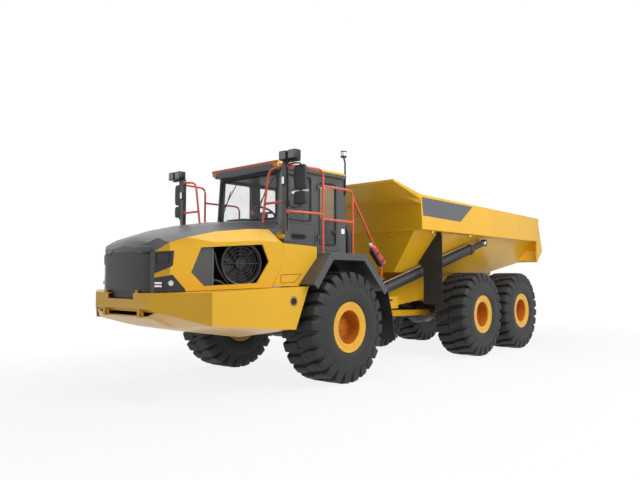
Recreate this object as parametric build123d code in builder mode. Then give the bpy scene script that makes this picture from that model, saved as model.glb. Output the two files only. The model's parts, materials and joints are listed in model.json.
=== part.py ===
from build123d import *
import math
import os

# Three-axle articulated dump truck, in millimetres. +X is forward, +Y is its left side, +Z is up.
# The origin is on the ground under the middle of the vehicle. Outlines give positions as
# (ahead of the front axle, height) or (to the left, height), and the planes below place them.

# Wheels and axles
WHEELBASE = 4550
TANDEM_SPACING = 1970
TRACK = 2636
TYRE_RADIUS = 900
TYRE_HALF_WIDTH = 376
TREAD_DEPTH = 62
LUGS = 24
LUG_WIDTH = 146
RIM_SEAT_RADIUS = 318
RIM_FLANGE_RADIUS = 406
RIM_HALF_WIDTH = 332
HUB_RECESS_RADIUS = 262
HUB_RECESS_DEPTH = 210
DISC_THICKNESS = 60
WHEEL_SIDES = 24
BEAD_GAP = 1.0
HUB_GAP = 0.5
AXLE_TUBE_RADIUS = 130
DIFFERENTIAL_RADIUS = 250
HUB_DRUM_RADIUS = 205

# Overall reach and the steering joint
FRONT_REACH = 3090
REAR_REACH = 1720
HITCH_BACK = 1280
HITCH_PIN_RADIUS = 55
HITCH_LOW = 840
HITCH_TOP = 1360
ROLL_TUBE_END = -1830
LUG_PLATE = 60
ROLL_HEIGHT = 1100
ROLL_TUBE_RADIUS = 170
EAR_RADIUS = 150

# Front frame, belly and apron
FRAME_HALF_WIDTH = 440
FRAME_PLATE = 50
APRON_HALF_WIDTH = 1500
APRON_FRONT_HALF = 684
APRON_CORNER = 2640
APRON_WALL = 16
APRON_REAR_TOP = 800
APRON_REAR_LOW = 1080
HOOD_LIFT = 8

# Hood and cab
HOOD_SHEET = 22
CAB_FRONT = 760
CAB_REAR = -960
CAB_HALF_WIDTH = 780
CAB_FLOOR = 2100
CAB_EAVES = 3490
CAB_WALL = 50
SILL_HEIGHT = 2650
WINDOW_HEADER = 80
GLASS_THICKNESS = 8
DOOR_FRONT = -190
DOOR_REAR = -730
DOOR_LOW = 2160
DOOR_GAP = 6
ROOF_DEPTH = 100
DECK_TOP = 2080
DECK_PLATE = 30

# Dump body
BODY_HALF_WIDTH = 1550
BODY_FRONT = -2330
BODY_RIM_FRONT = 3285
BODY_RIM_REAR = 3210
BODY_WALL = 30
FLOOR_HALF_WIDTH = 760
HULL_HALF_WIDTH = 1370
HULL_LOW = 1800
RAIL_LOW = 2600
TIP_BACK = 7000
TIP_HEIGHT = 1750
TIP_PIN_RADIUS = 60
GATE_PIVOT_BACK = 7860
GATE_PIVOT_HEIGHT = 3170

# Cylinders
HOIST_RADIUS = 105
HOIST_ROD_RADIUS = 60
HOIST_FOOT = (-2000, 600, 1360)
HOIST_EYE = (-5050, 1450, 2470)
STEER_RADIUS = 54
STEER_ROD_RADIUS = 35
STEER_FOOT = (-330, 620, 1100)
STEER_EYE = (-1660, 450, 1100)
EYE_SIDE_GAP = 8
STEER_STROKE = 372
ROD_CLEARANCE = 0.3
PIN_CLEARANCE = 0.05
SEAT_GAP = 0.3
FLATNESS = 0.001
TIP_RANGE = 70

# Values worked out from the sizes above
HALF_TRACK = TRACK / 2
AXLE_X = (WHEELBASE + TANDEM_SPACING + REAR_REACH - FRONT_REACH) / 2
LUG_PITCH = 360 / LUGS
LUG_HALF_ANGLE = math.degrees(math.asin(LUG_WIDTH / 2 / TYRE_RADIUS))
HUB_HEIGHT = TYRE_RADIUS * math.cos(math.radians(LUG_HALF_ANGLE - LUG_PITCH / 4))
TAIL_X = -(WHEELBASE + TANDEM_SPACING + REAR_REACH)
AXLES = {"front": 0, "mid": -WHEELBASE, "rear": -WHEELBASE - TANDEM_SPACING}
SIDES = {"left": 1, "right": -1}
WINDOW_TOP = CAB_EAVES - WINDOW_HEADER
ROOF_TOP = CAB_EAVES + ROOF_DEPTH


def side_plane(left):
    """Plane across the vehicle at a distance to the left: outlines are (ahead, height)."""
    return Plane(origin=(AXLE_X, left, 0), x_dir=(1, 0, 0), z_dir=(0, -1, 0))


def plan_plane(height):
    """Level plane at a height: outlines are (ahead, left)."""
    return Plane(origin=(AXLE_X, 0, height), x_dir=(1, 0, 0), z_dir=(0, 0, 1))


def cross_plane(ahead):
    """Plane that faces forward at a station: outlines are (left, height)."""
    return Plane(origin=(AXLE_X + ahead, 0, 0), x_dir=(0, 1, 0), z_dir=(1, 0, 0))


def place(ahead, left, height):
    """Point in the model's frame."""
    return Vector(AXLE_X + ahead, left, height)


def slab(outline, low, high, mode=Mode.ADD):
    """Plate with an outline seen from the side, between two distances to the left."""
    low, high = min(low, high), max(low, high)
    with BuildSketch(side_plane(high)) as profile:
        with BuildLine():
            Polyline(*outline, close=True)
        make_face()
    extrude(profile.sketch, amount=high - low, mode=mode)


def layer(outline, low, high, mode=Mode.ADD):
    """Plate with an outline seen from above, between two heights."""
    with BuildSketch(plan_plane(low)) as profile:
        with BuildLine():
            Polyline(*outline, close=True)
        make_face()
    extrude(profile.sketch, amount=high - low, mode=mode)


def bulkhead(outline, rear, front, mode=Mode.ADD):
    """Plate with an outline seen from the front, between two stations."""
    with BuildSketch(cross_plane(rear)) as profile:
        with BuildLine():
            Polyline(*outline, close=True)
        make_face()
    extrude(profile.sketch, amount=front - rear, mode=mode)


def block(ahead, left, height, mode=Mode.ADD):
    """Box between two limits on each axis."""
    with Locations(place(sum(ahead) / 2, sum(left) / 2, sum(height) / 2)):
        Box(ahead[1] - ahead[0], abs(left[1] - left[0]), height[1] - height[0], mode=mode)


def ribbon(path, depth):
    """Outline of a strip along a path of points, reaching depth to the path's right."""
    points = [Vector(*point) for point in path]
    runs = [(after - before).normalized() for before, after in zip(points, points[1:])]
    sides = [Vector(run.Y, -run.X) for run in runs]
    inner = [points[0] + sides[0] * depth]
    for point, before, after in zip(points[1:], sides, sides[1:]):
        inner.append(point + (before + after) * (depth / (1 + before.dot(after))))
    inner.append(points[-1] + sides[-1] * depth)
    return [(p.X, p.Y) for p in points + inner[::-1]]


def panels(near, far):
    """Flat faces between two rings of corners; near has as many as far, or several times as many."""
    share = len(near) // len(far)
    pairs = []
    for turn, post in enumerate(far):
        following = far[(turn + 1) % len(far)]
        run = [near[(turn * share + step) % len(near)] for step in range(share + 1)]
        if share > 1:
            pairs += [(a, b, post) for a, b in zip(run, run[1:])] + [(run[-1], following, post)]
            continue
        (a, b), c, d = run, following, post
        normal = (b - a).cross(c - a)
        if abs(normal.dot(d - a)) < FLATNESS * normal.length:
            pairs.append((a, b, c, d))
        elif (c - a).length <= (d - b).length:
            pairs += [(a, b, c), (a, c, d)]
        else:
            pairs += [(a, b, d), (b, c, d)]
    return [Face(Wire.make_polygon(corners)) for corners in pairs]


def faceted(rings, mode=Mode.ADD):
    """Flat-faced solid through rings of corners, closed by the first ring and the last."""
    faces = [Face(Wire.make_polygon(rings[0])), Face(Wire.make_polygon(rings[-1]))]
    for before, after in zip(rings, rings[1:]):
        faces += panels(before, after) if len(before) >= len(after) else panels(after, before)
    add(Solid(Shell(faces)), mode=mode)


def section_loft(sections, mode=Mode.ADD):
    """Straight-sided skin through (ahead, outline seen from the front) sections."""
    faceted([[place(ahead, *corner) for corner in outline] for ahead, outline in sections], mode)


def barrel_loft(axis, sections, sides, mode=Mode.ADD):
    """Many-sided turned form about a plane's normal through (offset, radius) sections."""
    turns = [Vector(1, 0, 0).rotate(Axis.Z, 360 * turn / sides) for turn in range(sides)]
    faceted([[axis.from_local_coords(turn * radius + Vector(0, 0, offset)) for turn in turns]
             for offset, radius in sections], mode)


def rod(start, end, radius, sides=None, mode=Mode.ADD):
    """Round or many-sided bar between two points."""
    run = end - start
    with BuildSketch(Plane(origin=start, z_dir=run.normalized())) as profile:
        if sides:
            RegularPolygon(radius, sides)
        else:
            Circle(radius)
    extrude(profile.sketch, amount=run.length, mode=mode)


def tube(points, radius=19, sides=6):
    """Bent rail with mitred corners through points."""
    corners = [place(*point) for point in points]
    with BuildLine() as path:
        Polyline(*corners)
    first = (corners[1] - corners[0]).normalized()
    with BuildSketch(Plane(origin=corners[0], z_dir=first)) as profile:
        RegularPolygon(radius, sides)
    sweep(profile.sketch, path=path.line, transition=Transition.RIGHT)


def save(piece, name, location=None):
    """Names a finished piece and writes it."""
    solid = piece.part if location is None else piece.part.moved(location)
    solid.label = name
    export_step(solid, f"parts/{name}.step")


def mirrored(outline):
    """The same outline on the other side of the middle line."""
    return [(-left, height) for left, height in outline]


os.makedirs("parts", exist_ok=True)

# Tyres and rims
ACROSS = Plane(origin=(0, 0, 0), x_dir=(1, 0, 0), z_dir=(0, 1, 0))
TREAD_ROOT = TYRE_RADIUS - TREAD_DEPTH
BEAD_OFFSET = RIM_HALF_WIDTH - 16
BORE_RADIUS = RIM_SEAT_RADIUS + BEAD_GAP
LIP_RADIUS = RIM_FLANGE_RADIUS + 2 * BEAD_GAP
LUG_TOP = math.sqrt(TYRE_RADIUS ** 2 - (LUG_WIDTH / 2) ** 2)
SHOULDER_DEPTH = 50
# Offset from the wheel's centre and radius, from the tyre's shoulder to its bead
TYRE_WALL = [
    (TYRE_HALF_WIDTH - 4, 0.78 * TYRE_RADIUS),
    (RIM_HALF_WIDTH - 2 * BEAD_GAP, LIP_RADIUS),
    (BEAD_OFFSET - 2 * BEAD_GAP, BORE_RADIUS),
]
# Across the lug and out from the wheel's centre, round one lug and the root beside it
LUG_CORNERS = [(-LUG_WIDTH / 2, TREAD_ROOT), (-LUG_WIDTH / 2, LUG_TOP),
               (LUG_WIDTH / 2, LUG_TOP), (LUG_WIDTH / 2, TREAD_ROOT)]


def wheel_ring(offset, corners, first):
    """Ring of corners about the wheel's axis, repeated at each lug from a first angle."""
    return [
        ACROSS.from_local_coords(Vector(out, across, 0).rotate(Axis.Z, first + LUG_PITCH * turn)
                                 + Vector(0, 0, offset))
        for turn in range(LUGS) for across, out in corners
    ]


def tyre_half(hand):
    """Rings of one side of the tyre, from the shoulder's lugs to the bead."""
    shoulder = hand * (TYRE_HALF_WIDTH - SHOULDER_DEPTH)
    wall = [wheel_ring(hand * offset, [(0, radius)], 0) for offset, radius in TYRE_WALL]
    return [wheel_ring(shoulder, LUG_CORNERS, hand * LUG_PITCH / 4)] + wall


with BuildPart() as tyre:
    faceted(tyre_half(-1)[::-1] + [wheel_ring(0, [(0, LUG_TOP)], 0)] + tyre_half(1))
    barrel_loft(ACROSS, [(-RIM_HALF_WIDTH, BORE_RADIUS), (RIM_HALF_WIDTH, BORE_RADIUS)],
                WHEEL_SIDES, mode=Mode.SUBTRACT)

DISC_FACE = RIM_HALF_WIDTH - HUB_RECESS_DEPTH
with BuildPart() as rim:
    rim_half = [(BEAD_OFFSET, RIM_SEAT_RADIUS), (RIM_HALF_WIDTH, RIM_FLANGE_RADIUS),
                (RIM_HALF_WIDTH + 12, RIM_FLANGE_RADIUS)]
    barrel_loft(ACROSS, [(-o, r) for o, r in rim_half[::-1]] + rim_half, WHEEL_SIDES)
    barrel_loft(ACROSS, [(RIM_HALF_WIDTH - 12, RIM_SEAT_RADIUS + 12),
                         (RIM_HALF_WIDTH + 12, RIM_FLANGE_RADIUS - 22)],
                WHEEL_SIDES, mode=Mode.SUBTRACT)
    barrel_loft(ACROSS, [(DISC_FACE, HUB_RECESS_RADIUS), (RIM_HALF_WIDTH, HUB_RECESS_RADIUS)],
                WHEEL_SIDES, mode=Mode.SUBTRACT)
    barrel_loft(ACROSS, [(-RIM_HALF_WIDTH - 12, RIM_SEAT_RADIUS - 22),
                         (DISC_FACE - DISC_THICKNESS, RIM_SEAT_RADIUS - 22)],
                WHEEL_SIDES, mode=Mode.SUBTRACT)

for axle_name, axle_at in AXLES.items():
    for side_name, side in SIDES.items():
        centre = Location((AXLE_X + axle_at, side * HALF_TRACK, HUB_HEIGHT))
        turned = centre if side > 0 else centre * Location((0, 0, 0), (0, 0, 180))
        save(tyre, f"tyre_{axle_name}_{side_name}", turned)
        save(rim, f"rim_{axle_name}_{side_name}", turned)

# Axle housings, with the hub drums that carry the wheels and the seats of the suspension
STRUT_LEFT = 560
STRUT_TOP = 1290
BEAM_INNER = 620
BEAM_OUTER = 780
BEAM_LOW = 1060
SNOUT_RISE = 60
SNOUT_REACH = 1.6 * DIFFERENTIAL_RADIUS
HUB_FACE = HALF_TRACK + DISC_FACE - DISC_THICKNESS - HUB_GAP
DRUM_INNER = HALF_TRACK - RIM_HALF_WIDTH + 20
for axle_name, axle_at in AXLES.items():
    middle = Plane(origin=(AXLE_X + axle_at, 0, HUB_HEIGHT), x_dir=(1, 0, 0), z_dir=(0, 1, 0))
    housing = [
        (DIFFERENTIAL_RADIUS * 0.35, DIFFERENTIAL_RADIUS),
        (DIFFERENTIAL_RADIUS * 1.3, AXLE_TUBE_RADIUS * 1.15),
        (DRUM_INNER, AXLE_TUBE_RADIUS),
        (DRUM_INNER, HUB_DRUM_RADIUS),
        (HUB_FACE, HUB_DRUM_RADIUS),
    ]
    with BuildPart() as axle:
        barrel_loft(middle, [(-o, r) for o, r in housing[:3][::-1]] + housing[:3], 12)
        for side in SIDES.values():
            barrel_loft(middle, [(side * o, r) for o, r in housing[3:]], 12)
        snout_height = HUB_HEIGHT + SNOUT_RISE
        rod(place(axle_at, 0, snout_height),
            place(axle_at + SNOUT_REACH, 0, snout_height), 110, sides=8)
        for side in SIDES.values():
            if axle_name == "front":
                rod(place(axle_at, side * STRUT_LEFT, HUB_HEIGHT),
                    place(axle_at, side * STRUT_LEFT, STRUT_TOP - SEAT_GAP), 62, sides=12)
            else:
                block((axle_at - 90, axle_at + 90), (side * BEAM_INNER, side * BEAM_OUTER),
                      (HUB_HEIGHT, BEAM_LOW - SEAT_GAP))
    save(axle, f"{axle_name}_axle")

# Front frame: two rails, cross members and the two hitch ears on a narrow nose
RAIL_INNER = FRAME_HALF_WIDTH - FRAME_PLATE
NOSE_HALF_WIDTH = 240
NOSE_START = -HITCH_BACK + 720
NOSE_END = -HITCH_BACK + 280
front_rail = [
    (2450, 1020), (2450, HITCH_TOP), (NOSE_START, HITCH_TOP), (NOSE_START, 1000), (-200, 1000),
    (-165, 1070), (620, 1070), (1500, 1020),
]
STEER_PIN_RADIUS = 25
STEER_EYE_HALF = 50
steer_lugs = [(STEER_FOOT[2] - STEER_EYE_HALF - 40, STEER_FOOT[2] - STEER_EYE_HALF - 5),
              (STEER_FOOT[2] + STEER_EYE_HALF + 5, STEER_FOOT[2] + STEER_EYE_HALF + 40)]
with BuildPart() as front_frame:
    for side in SIDES.values():
        slab(front_rail, side * RAIL_INNER, side * FRAME_HALF_WIDTH)
        slab([(NOSE_START, HITCH_LOW), (NOSE_START, HITCH_TOP), (NOSE_END, HITCH_TOP),
              (NOSE_END, HITCH_LOW)], side * (NOSE_HALF_WIDTH - FRAME_PLATE), side * NOSE_HALF_WIDTH)
        for low, high in steer_lugs:
            layer([(STEER_FOOT[0] + 150, side * RAIL_INNER), (STEER_FOOT[0] + 60, side * 690),
                   (STEER_FOOT[0] - 60, side * 690), (STEER_FOOT[0] - 150, side * RAIL_INNER)],
                  low, high)
        block((-90, 90), (side * RAIL_INNER, side * (STRUT_LEFT + 80)), (STRUT_TOP, HITCH_TOP))
    block((2400, 2450), (-APRON_HALF_WIDTH + 180, APRON_HALF_WIDTH - 180), (1110, 1300))
    block((1240, 1290), (-APRON_HALF_WIDTH + APRON_WALL, APRON_HALF_WIDTH - APRON_WALL),
          (1080, 1300))
    block((NOSE_START, NOSE_START + 50), (-FRAME_HALF_WIDTH, FRAME_HALF_WIDTH), (HITCH_LOW, HITCH_TOP))
    block((NOSE_END, NOSE_END + 50), (-NOSE_HALF_WIDTH, NOSE_HALF_WIDTH), (HITCH_LOW, HITCH_TOP))
    for low in (HITCH_LOW, HITCH_TOP - LUG_PLATE):
        with BuildSketch(plan_plane(low)) as ear:
            with BuildLine():
                Line((NOSE_END, NOSE_HALF_WIDTH), (NOSE_END, -NOSE_HALF_WIDTH))
                Line((NOSE_END, -NOSE_HALF_WIDTH), (-HITCH_BACK, -EAR_RADIUS))
                ThreePointArc((-HITCH_BACK, -EAR_RADIUS), (-HITCH_BACK - EAR_RADIUS, 0),
                              (-HITCH_BACK, EAR_RADIUS))
                Line((-HITCH_BACK, EAR_RADIUS), (NOSE_END, NOSE_HALF_WIDTH))
            make_face()
            with Locations((-HITCH_BACK, 0)):
                Circle(HITCH_PIN_RADIUS + PIN_CLEARANCE, mode=Mode.SUBTRACT)
        extrude(ear.sketch, amount=LUG_PLATE)
    for side in SIDES.values():
        lug = place(STEER_FOOT[0], side * STEER_FOOT[1], STEER_FOOT[2])
        rod(lug - Vector(0, 0, 150), lug + Vector(0, 0, 150), STEER_PIN_RADIUS + PIN_CLEARANCE,
            mode=Mode.SUBTRACT)
save(front_frame, "front_frame")

# Hitch: a yoke on the upright pin, with the lengthways tube that the rear frame turns on
with BuildPart() as hitch:
    rod(place(-HITCH_BACK, 0, HITCH_LOW - 30), place(-HITCH_BACK, 0, HITCH_TOP + 30), HITCH_PIN_RADIUS)
    block((-HITCH_BACK - 200, -HITCH_BACK + 100), (-110, 110),
          (HITCH_LOW + LUG_PLATE + 6, HITCH_TOP - LUG_PLATE - 6))
    rod(place(-HITCH_BACK - 190, 0, ROLL_HEIGHT), place(ROLL_TUBE_END, 0, ROLL_HEIGHT),
        ROLL_TUBE_RADIUS)
    for side in SIDES.values():
        layer([(-HITCH_BACK - 90, side * 90), (STEER_EYE[0] + 80, side * (STEER_EYE[1] + 60)),
               (STEER_EYE[0] - 55, side * (STEER_EYE[1] + 60)),
               (STEER_EYE[0] - 55, side * (STEER_EYE[1] - 60)), (-HITCH_BACK - 200, side * 90)],
              STEER_EYE[2] - 115, STEER_EYE[2] - 85)
save(hitch, "hitch")

# Steering cylinders: barrels on the front frame, rods that reach over the hitch's lugs
for side_name, side in SIDES.items():
    foot = place(STEER_FOOT[0], side * STEER_FOOT[1], STEER_FOOT[2])
    eye = place(STEER_EYE[0], side * STEER_EYE[1], STEER_EYE[2])
    reach = (eye - foot).normalized()
    span = (eye - foot).length
    gland = span * 0.66
    up = Vector(0, 0, 1)
    with BuildPart() as steer_barrel:
        rod(foot - up * STEER_EYE_HALF, foot + up * STEER_EYE_HALF, 55)
        rod(foot - up * (STEER_EYE_HALF + 45), foot + up * (STEER_EYE_HALF + 45), STEER_PIN_RADIUS)
        rod(foot + reach * 30, foot + reach * gland, STEER_RADIUS, sides=16)
        rod(foot + reach * (gland - 70), foot + reach * gland, STEER_RADIUS + 8, sides=16)
        rod(foot + reach * 100, foot + reach * gland, STEER_ROD_RADIUS + ROD_CLEARANCE,
            mode=Mode.SUBTRACT)
    save(steer_barrel, f"steer_barrel_{side_name}")
    with BuildPart() as steer_rod:
        rod(eye - up * (85 - EYE_SIDE_GAP), eye + up * STEER_EYE_HALF, 52)
        rod(foot + reach * (105 + STEER_STROKE), eye - reach * 30, STEER_ROD_RADIUS)
    save(steer_rod, f"steer_rod_{side_name}")

# Front apron: bumper and side skirts in one bent plate, with a sloping top flange
APRON_TOP = [(FRONT_REACH, 1484), (APRON_CORNER, 1500), (APRON_REAR_TOP, 1560)]
HOOD_HINGE = (FRONT_REACH - 22, 1508)
HOOD_HINGE_LEFT = 385
APRON_NOTCH = 335
TOW_EYE = (3045, 1190)
TOW_EYE_RADIUS = 24
apron_path = [
    (APRON_REAR_TOP - 60, APRON_HALF_WIDTH), (APRON_CORNER, APRON_HALF_WIDTH),
    (FRONT_REACH, APRON_FRONT_HALF), (FRONT_REACH, -APRON_FRONT_HALF),
    (APRON_CORNER, -APRON_HALF_WIDTH), (APRON_REAR_TOP - 60, -APRON_HALF_WIDTH),
]
apron_side = APRON_TOP + [(APRON_REAR_LOW, 920), (APRON_CORNER, 1060), (FRONT_REACH, 1270)]


def apron_top(ahead):
    """Height of the apron's upper edge at a station."""
    rows = APRON_TOP if ahead > APRON_CORNER else APRON_TOP[1:]
    (a, low), (b, high) = rows[0], rows[1]
    return low + (high - low) * (ahead - a) / (b - a)


with BuildPart() as apron_wall:
    layer(ribbon(apron_path, APRON_WALL), 800, 1600)
    slab(apron_side, -1600, 1600, mode=Mode.INTERSECT)
with BuildPart() as apron:
    slab(ribbon(APRON_TOP, -APRON_WALL), -APRON_HALF_WIDTH, APRON_HALF_WIDTH)
    layer(apron_path, 800, 1600, mode=Mode.INTERSECT)
    layer([(0, -840), (2700, -840), (2890, -600), (2890, 600), (2700, 840), (0, 840)], 800, 1600,
          mode=Mode.SUBTRACT)
    add(apron_wall.part)
    block((2900, FRONT_REACH + 50), (-APRON_NOTCH, APRON_NOTCH), (1400, 1600), mode=Mode.SUBTRACT)
    for side in SIDES.values():
        block((3006, FRONT_REACH - 6), (side * 430, side * 480), (1150, 1300))
        rod(place(TOW_EYE[0], side * 420, TOW_EYE[1]), place(TOW_EYE[0], side * 490, TOW_EYE[1]),
            TOW_EYE_RADIUS, mode=Mode.SUBTRACT)
        block((HOOD_HINGE[0] - 16, HOOD_HINGE[0] + 16),
              (side * HOOD_HINGE_LEFT, side * (HOOD_HINGE_LEFT + 20)), (1470, HOOD_HINGE[1] + 16))
        rod(place(HOOD_HINGE[0], side * (HOOD_HINGE_LEFT - 10), HOOD_HINGE[1]),
            place(HOOD_HINGE[0], side * (HOOD_HINGE_LEFT + 30), HOOD_HINGE[1]),
            9 + PIN_CLEARANCE, mode=Mode.SUBTRACT)
save(apron, "front_apron")

# Belly plate: a pan under the engine that rises to the apron's lower edge
# ahead, bottom height, bottom half-width, edge height, edge half-width
BELLY_EDGE = APRON_HALF_WIDTH - APRON_WALL - SEAT_GAP
BELLY_FRONT_TOP = 1290
belly_rows = [
    (3000, 1150, 560, 1225, 795),
    (2640, 1000, 620, 1068, 1400),
    (2390, 940, 640, 1048, BELLY_EDGE),
    (1500, 790, 700, 962, BELLY_EDGE),
    (1130, 800, 700, 930, BELLY_EDGE),
]
with BuildPart() as belly:
    section_loft([
        (ahead, ribbon([(-edge, edge_z), (-low, low_z), (low, low_z), (edge, edge_z)], -20))
        for ahead, low_z, low, edge_z, edge in belly_rows
    ])
    ahead, _, _, edge_z, edge = belly_rows[0]
    bulkhead([(-edge, edge_z), (edge, edge_z), (edge - 20, BELLY_FRONT_TOP),
              (20 - edge, BELLY_FRONT_TOP)], ahead - 16, ahead)
save(belly, "belly_plate")

# Engine as one plain block, and the cooling packs at its sides
with BuildPart() as engine:
    block((1110, 2350), (-400, 400), (HITCH_TOP + SEAT_GAP, 2120))
save(engine, "engine_block")

FAN_X = 1805
FAN_HEIGHT = 1900
FAN_RADIUS = 320
FAN_FACE = 1105
FAN_TURN = 0.285
DUCT_LENGTH = 320
with BuildPart() as cooling_fans:
    for side in SIDES.values():
        block((1460, 2150), (side * 620, side * 800), (1560, 2240))
        block((1700, 1900), (side * (400 + SEAT_GAP), side * 620), (1500, 2000))
        out = Vector(FAN_TURN, side, 0).normalized()
        hub = place(FAN_X, side * FAN_FACE, FAN_HEIGHT) - out * DUCT_LENGTH
        rod(hub, hub + out * DUCT_LENGTH, FAN_RADIUS, sides=24)
        rod(hub + out * 180, hub + out * DUCT_LENGTH, FAN_RADIUS - 25, sides=24, mode=Mode.SUBTRACT)
        rod(hub + out * 170, hub + out * (DUCT_LENGTH - 40), 80, sides=8)
save(cooling_fans, "cooling_fans")

# Hood skin. Each row: ahead; left of the lower edge; shoulder, cap edge and side of the crown as
# (left, height); height of the crown on the middle line
hood_rows = [
    (2965, 655, (655, 1985), (650, 2050), (480, 2180), 2225),
    (2860, 865, (865, 2050), (840, 2170), (560, 2245), 2285),
    (2650, 920, (925, 2120), (945, 2245), (620, 2310), 2345),
    (2220, 1042, (1045, 2190), (1000, 2345), (680, 2440), 2475),
    (1620, 1213, (1210, 2235), (1010, 2415), (700, 2540), 2575),
    (1195, 1330, (1325, 2220), (1010, 2437), (720, 2580), 2615),
    (1080, 1360, (1356, 2210), (1010, 2438), (720, 2590), 2625),
]
NOSE_AHEAD = 3045
NOSE_HALF = [(400, 2045), (260, 2110)]
NOSE_CROWN = 2145
nose_path = mirrored(NOSE_HALF) + [(0, NOSE_CROWN)] + NOSE_HALF[::-1]
SEAM_AHEAD = 1195
HOOD_SEAM = [(SEAM_AHEAD, 2900), (SEAM_AHEAD, 2190), (1145, 1992), (1360, 1579), (1400, 1300)]
SEAM_GAP = 10


def skin(row, first, last):
    """Part of the hood's section between two points of its path, counted from the right."""
    ahead, low, shoulder, edge, crown_side, crown = row
    half = [(low, apron_top(ahead) + HOOD_LIFT), shoulder, edge, crown_side]
    path = mirrored(half) + [(0, crown)] + half[::-1]
    outline = ribbon(path, HOOD_SHEET)
    inner = outline[len(path):][::-1]
    return outline[first:last + 1] + inner[first:last + 1][::-1]


behind_seam = HOOD_SEAM + [(200, 1300), (200, 2900)]
side_opening = [
    (2436, 2114), (2572, 1766), (2390, 1578), (1606, 1616), (1414, 1930), (1517, 2182),
]
upper_lamp = [(3100, 2040), (2808, 2060), (2820, 1862), (3100, 1648)]
lower_lamp = [(3100, 1652), (2826, 1737), (2648, 1535), (2648, 1460), (3100, 1460)]
SKIN_SPANS = {1: (6, 8), -1: (0, 2)}
with BuildPart() as hood_sides:
    for side, span in SKIN_SPANS.items():
        section_loft([(row[0], skin(row, *span)) for row in hood_rows])
    slab(behind_seam, -1600, 1600, mode=Mode.SUBTRACT)
    for outline in (side_opening, upper_lamp, lower_lamp):
        slab(outline, -1600, 1600, mode=Mode.SUBTRACT)
save(hood_sides, "hood_sides")

with BuildPart() as lamp_skin:
    for side, span in SKIN_SPANS.items():
        section_loft([(row[0], skin(row, *span)) for row in hood_rows[:4]])
with BuildPart() as headlamps:
    slab(upper_lamp, -1600, 1600)
    slab(lower_lamp, -1600, 1600)
    add(lamp_skin.part, mode=Mode.INTERSECT)
save(headlamps, "headlamps")

with BuildPart() as hood_cap:
    section_loft([(NOSE_AHEAD, ribbon(nose_path, HOOD_SHEET))]
                 + [(row[0], skin(row, 2, 6)) for row in hood_rows])
    slab(behind_seam, -1600, 1600, mode=Mode.SUBTRACT)
save(hood_cap, "hood_cap")

# Grille: a curved panel under the hood's front lip, its foot in the bumper's notch, and the pins
# that the hood turns on
grille_path = [(2992, 600), (3030, 500), (3052, 0), (3030, -500), (2992, -600)]
GRILLE_LOW = 1500
GRILLE_SIDE = (610, 2023)
under_lip = ribbon(nose_path, HOOD_SHEET + SEAT_GAP)[len(nose_path):]
grille_face = [(-GRILLE_SIDE[0], GRILLE_LOW), (GRILLE_SIDE[0], GRILLE_LOW), GRILLE_SIDE] + under_lip
grille_face.append((-GRILLE_SIDE[0], GRILLE_SIDE[1]))
with BuildPart() as grille:
    layer(ribbon(grille_path, 40), GRILLE_LOW, NOSE_CROWN)
    bulkhead(grille_face, 2900, 3100, mode=Mode.INTERSECT)
    block((2960, 3030), (-300, 300), (1410, 1510))
    for side in SIDES.values():
        inside = side * (HOOD_HINGE_LEFT - 15)
        block((HOOD_HINGE[0] - 50, HOOD_HINGE[0] + 9), (side * (HOOD_HINGE_LEFT - 30), inside),
              (HOOD_HINGE[1] - 9, HOOD_HINGE[1] + 9))
        rod(place(HOOD_HINGE[0], side * (HOOD_HINGE_LEFT - 20), HOOD_HINGE[1]),
            place(HOOD_HINGE[0], side * (HOOD_HINGE_LEFT + 24), HOOD_HINGE[1]), 9, sides=12)
save(grille, "grille")

# Cowl in front of the windscreen, and the fixed panels behind the hood's sides
COWL_REAR = CAB_FRONT + 20
COWL_HALF_WIDTH = 1010
cowl_half = [(COWL_HALF_WIDTH, DECK_TOP + SEAT_GAP), (COWL_HALF_WIDTH, 2437), (720, 2585)]
cowl_path = mirrored(cowl_half) + [(0, 2625)] + cowl_half[::-1]
with BuildPart() as cowl:
    bulkhead(ribbon(cowl_path, HOOD_SHEET), COWL_REAR, SEAM_AHEAD - SEAM_GAP)
save(cowl, "cowl")

FENDER_TIP = (890, 1595)
fender_path = [FENDER_TIP, (500, DECK_TOP), (-370, DECK_TOP), (-980, 1480)]
above_fender = [(1500, 1280), (FENDER_TIP[0], 1564), FENDER_TIP, (500, DECK_TOP + 1), (500, 1280)]
panel_front = [(ahead - SEAM_GAP, height) for ahead, height in HOOD_SEAM]
# ahead, left of the lower edge, shoulder and upper inner edge as (left, height)
panel_rows = [
    (1420, 1270, (1275, 2228), (1000, 2286)),
    (560, 1452, (1445, 2175), (1000, 2217)),
]


def panel_top(ahead, left):
    """Height of the side panel's top at a place."""
    front, rear = panel_rows
    share = (ahead - rear[0]) / (front[0] - rear[0])
    edges = []
    for low, high in zip(rear[2:], front[2:]):
        edges.append([a + (b - a) * share for a, b in zip(low, high)])
    (outer, outer_height), (inner, inner_height) = edges
    return outer_height + (inner_height - outer_height) * (outer - left) / (outer - inner)


with BuildPart() as side_panels:
    for side in SIDES.values():
        section_loft([
            (ahead, ribbon([(side * left, height) for left, height in
                            (top, shoulder, (low, 1564))], side * HOOD_SHEET))
            for ahead, low, shoulder, top in panel_rows
        ])
    slab(panel_front + [(3000, 1300), (3000, 2900)], -1600, 1600, mode=Mode.SUBTRACT)
    slab(above_fender, -1600, 1600, mode=Mode.SUBTRACT)
    block((300, 1500), (-COWL_HALF_WIDTH - SEAT_GAP, COWL_HALF_WIDTH + SEAT_GAP), (2100, 2400),
          mode=Mode.SUBTRACT)
save(side_panels, "side_panels")

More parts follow.
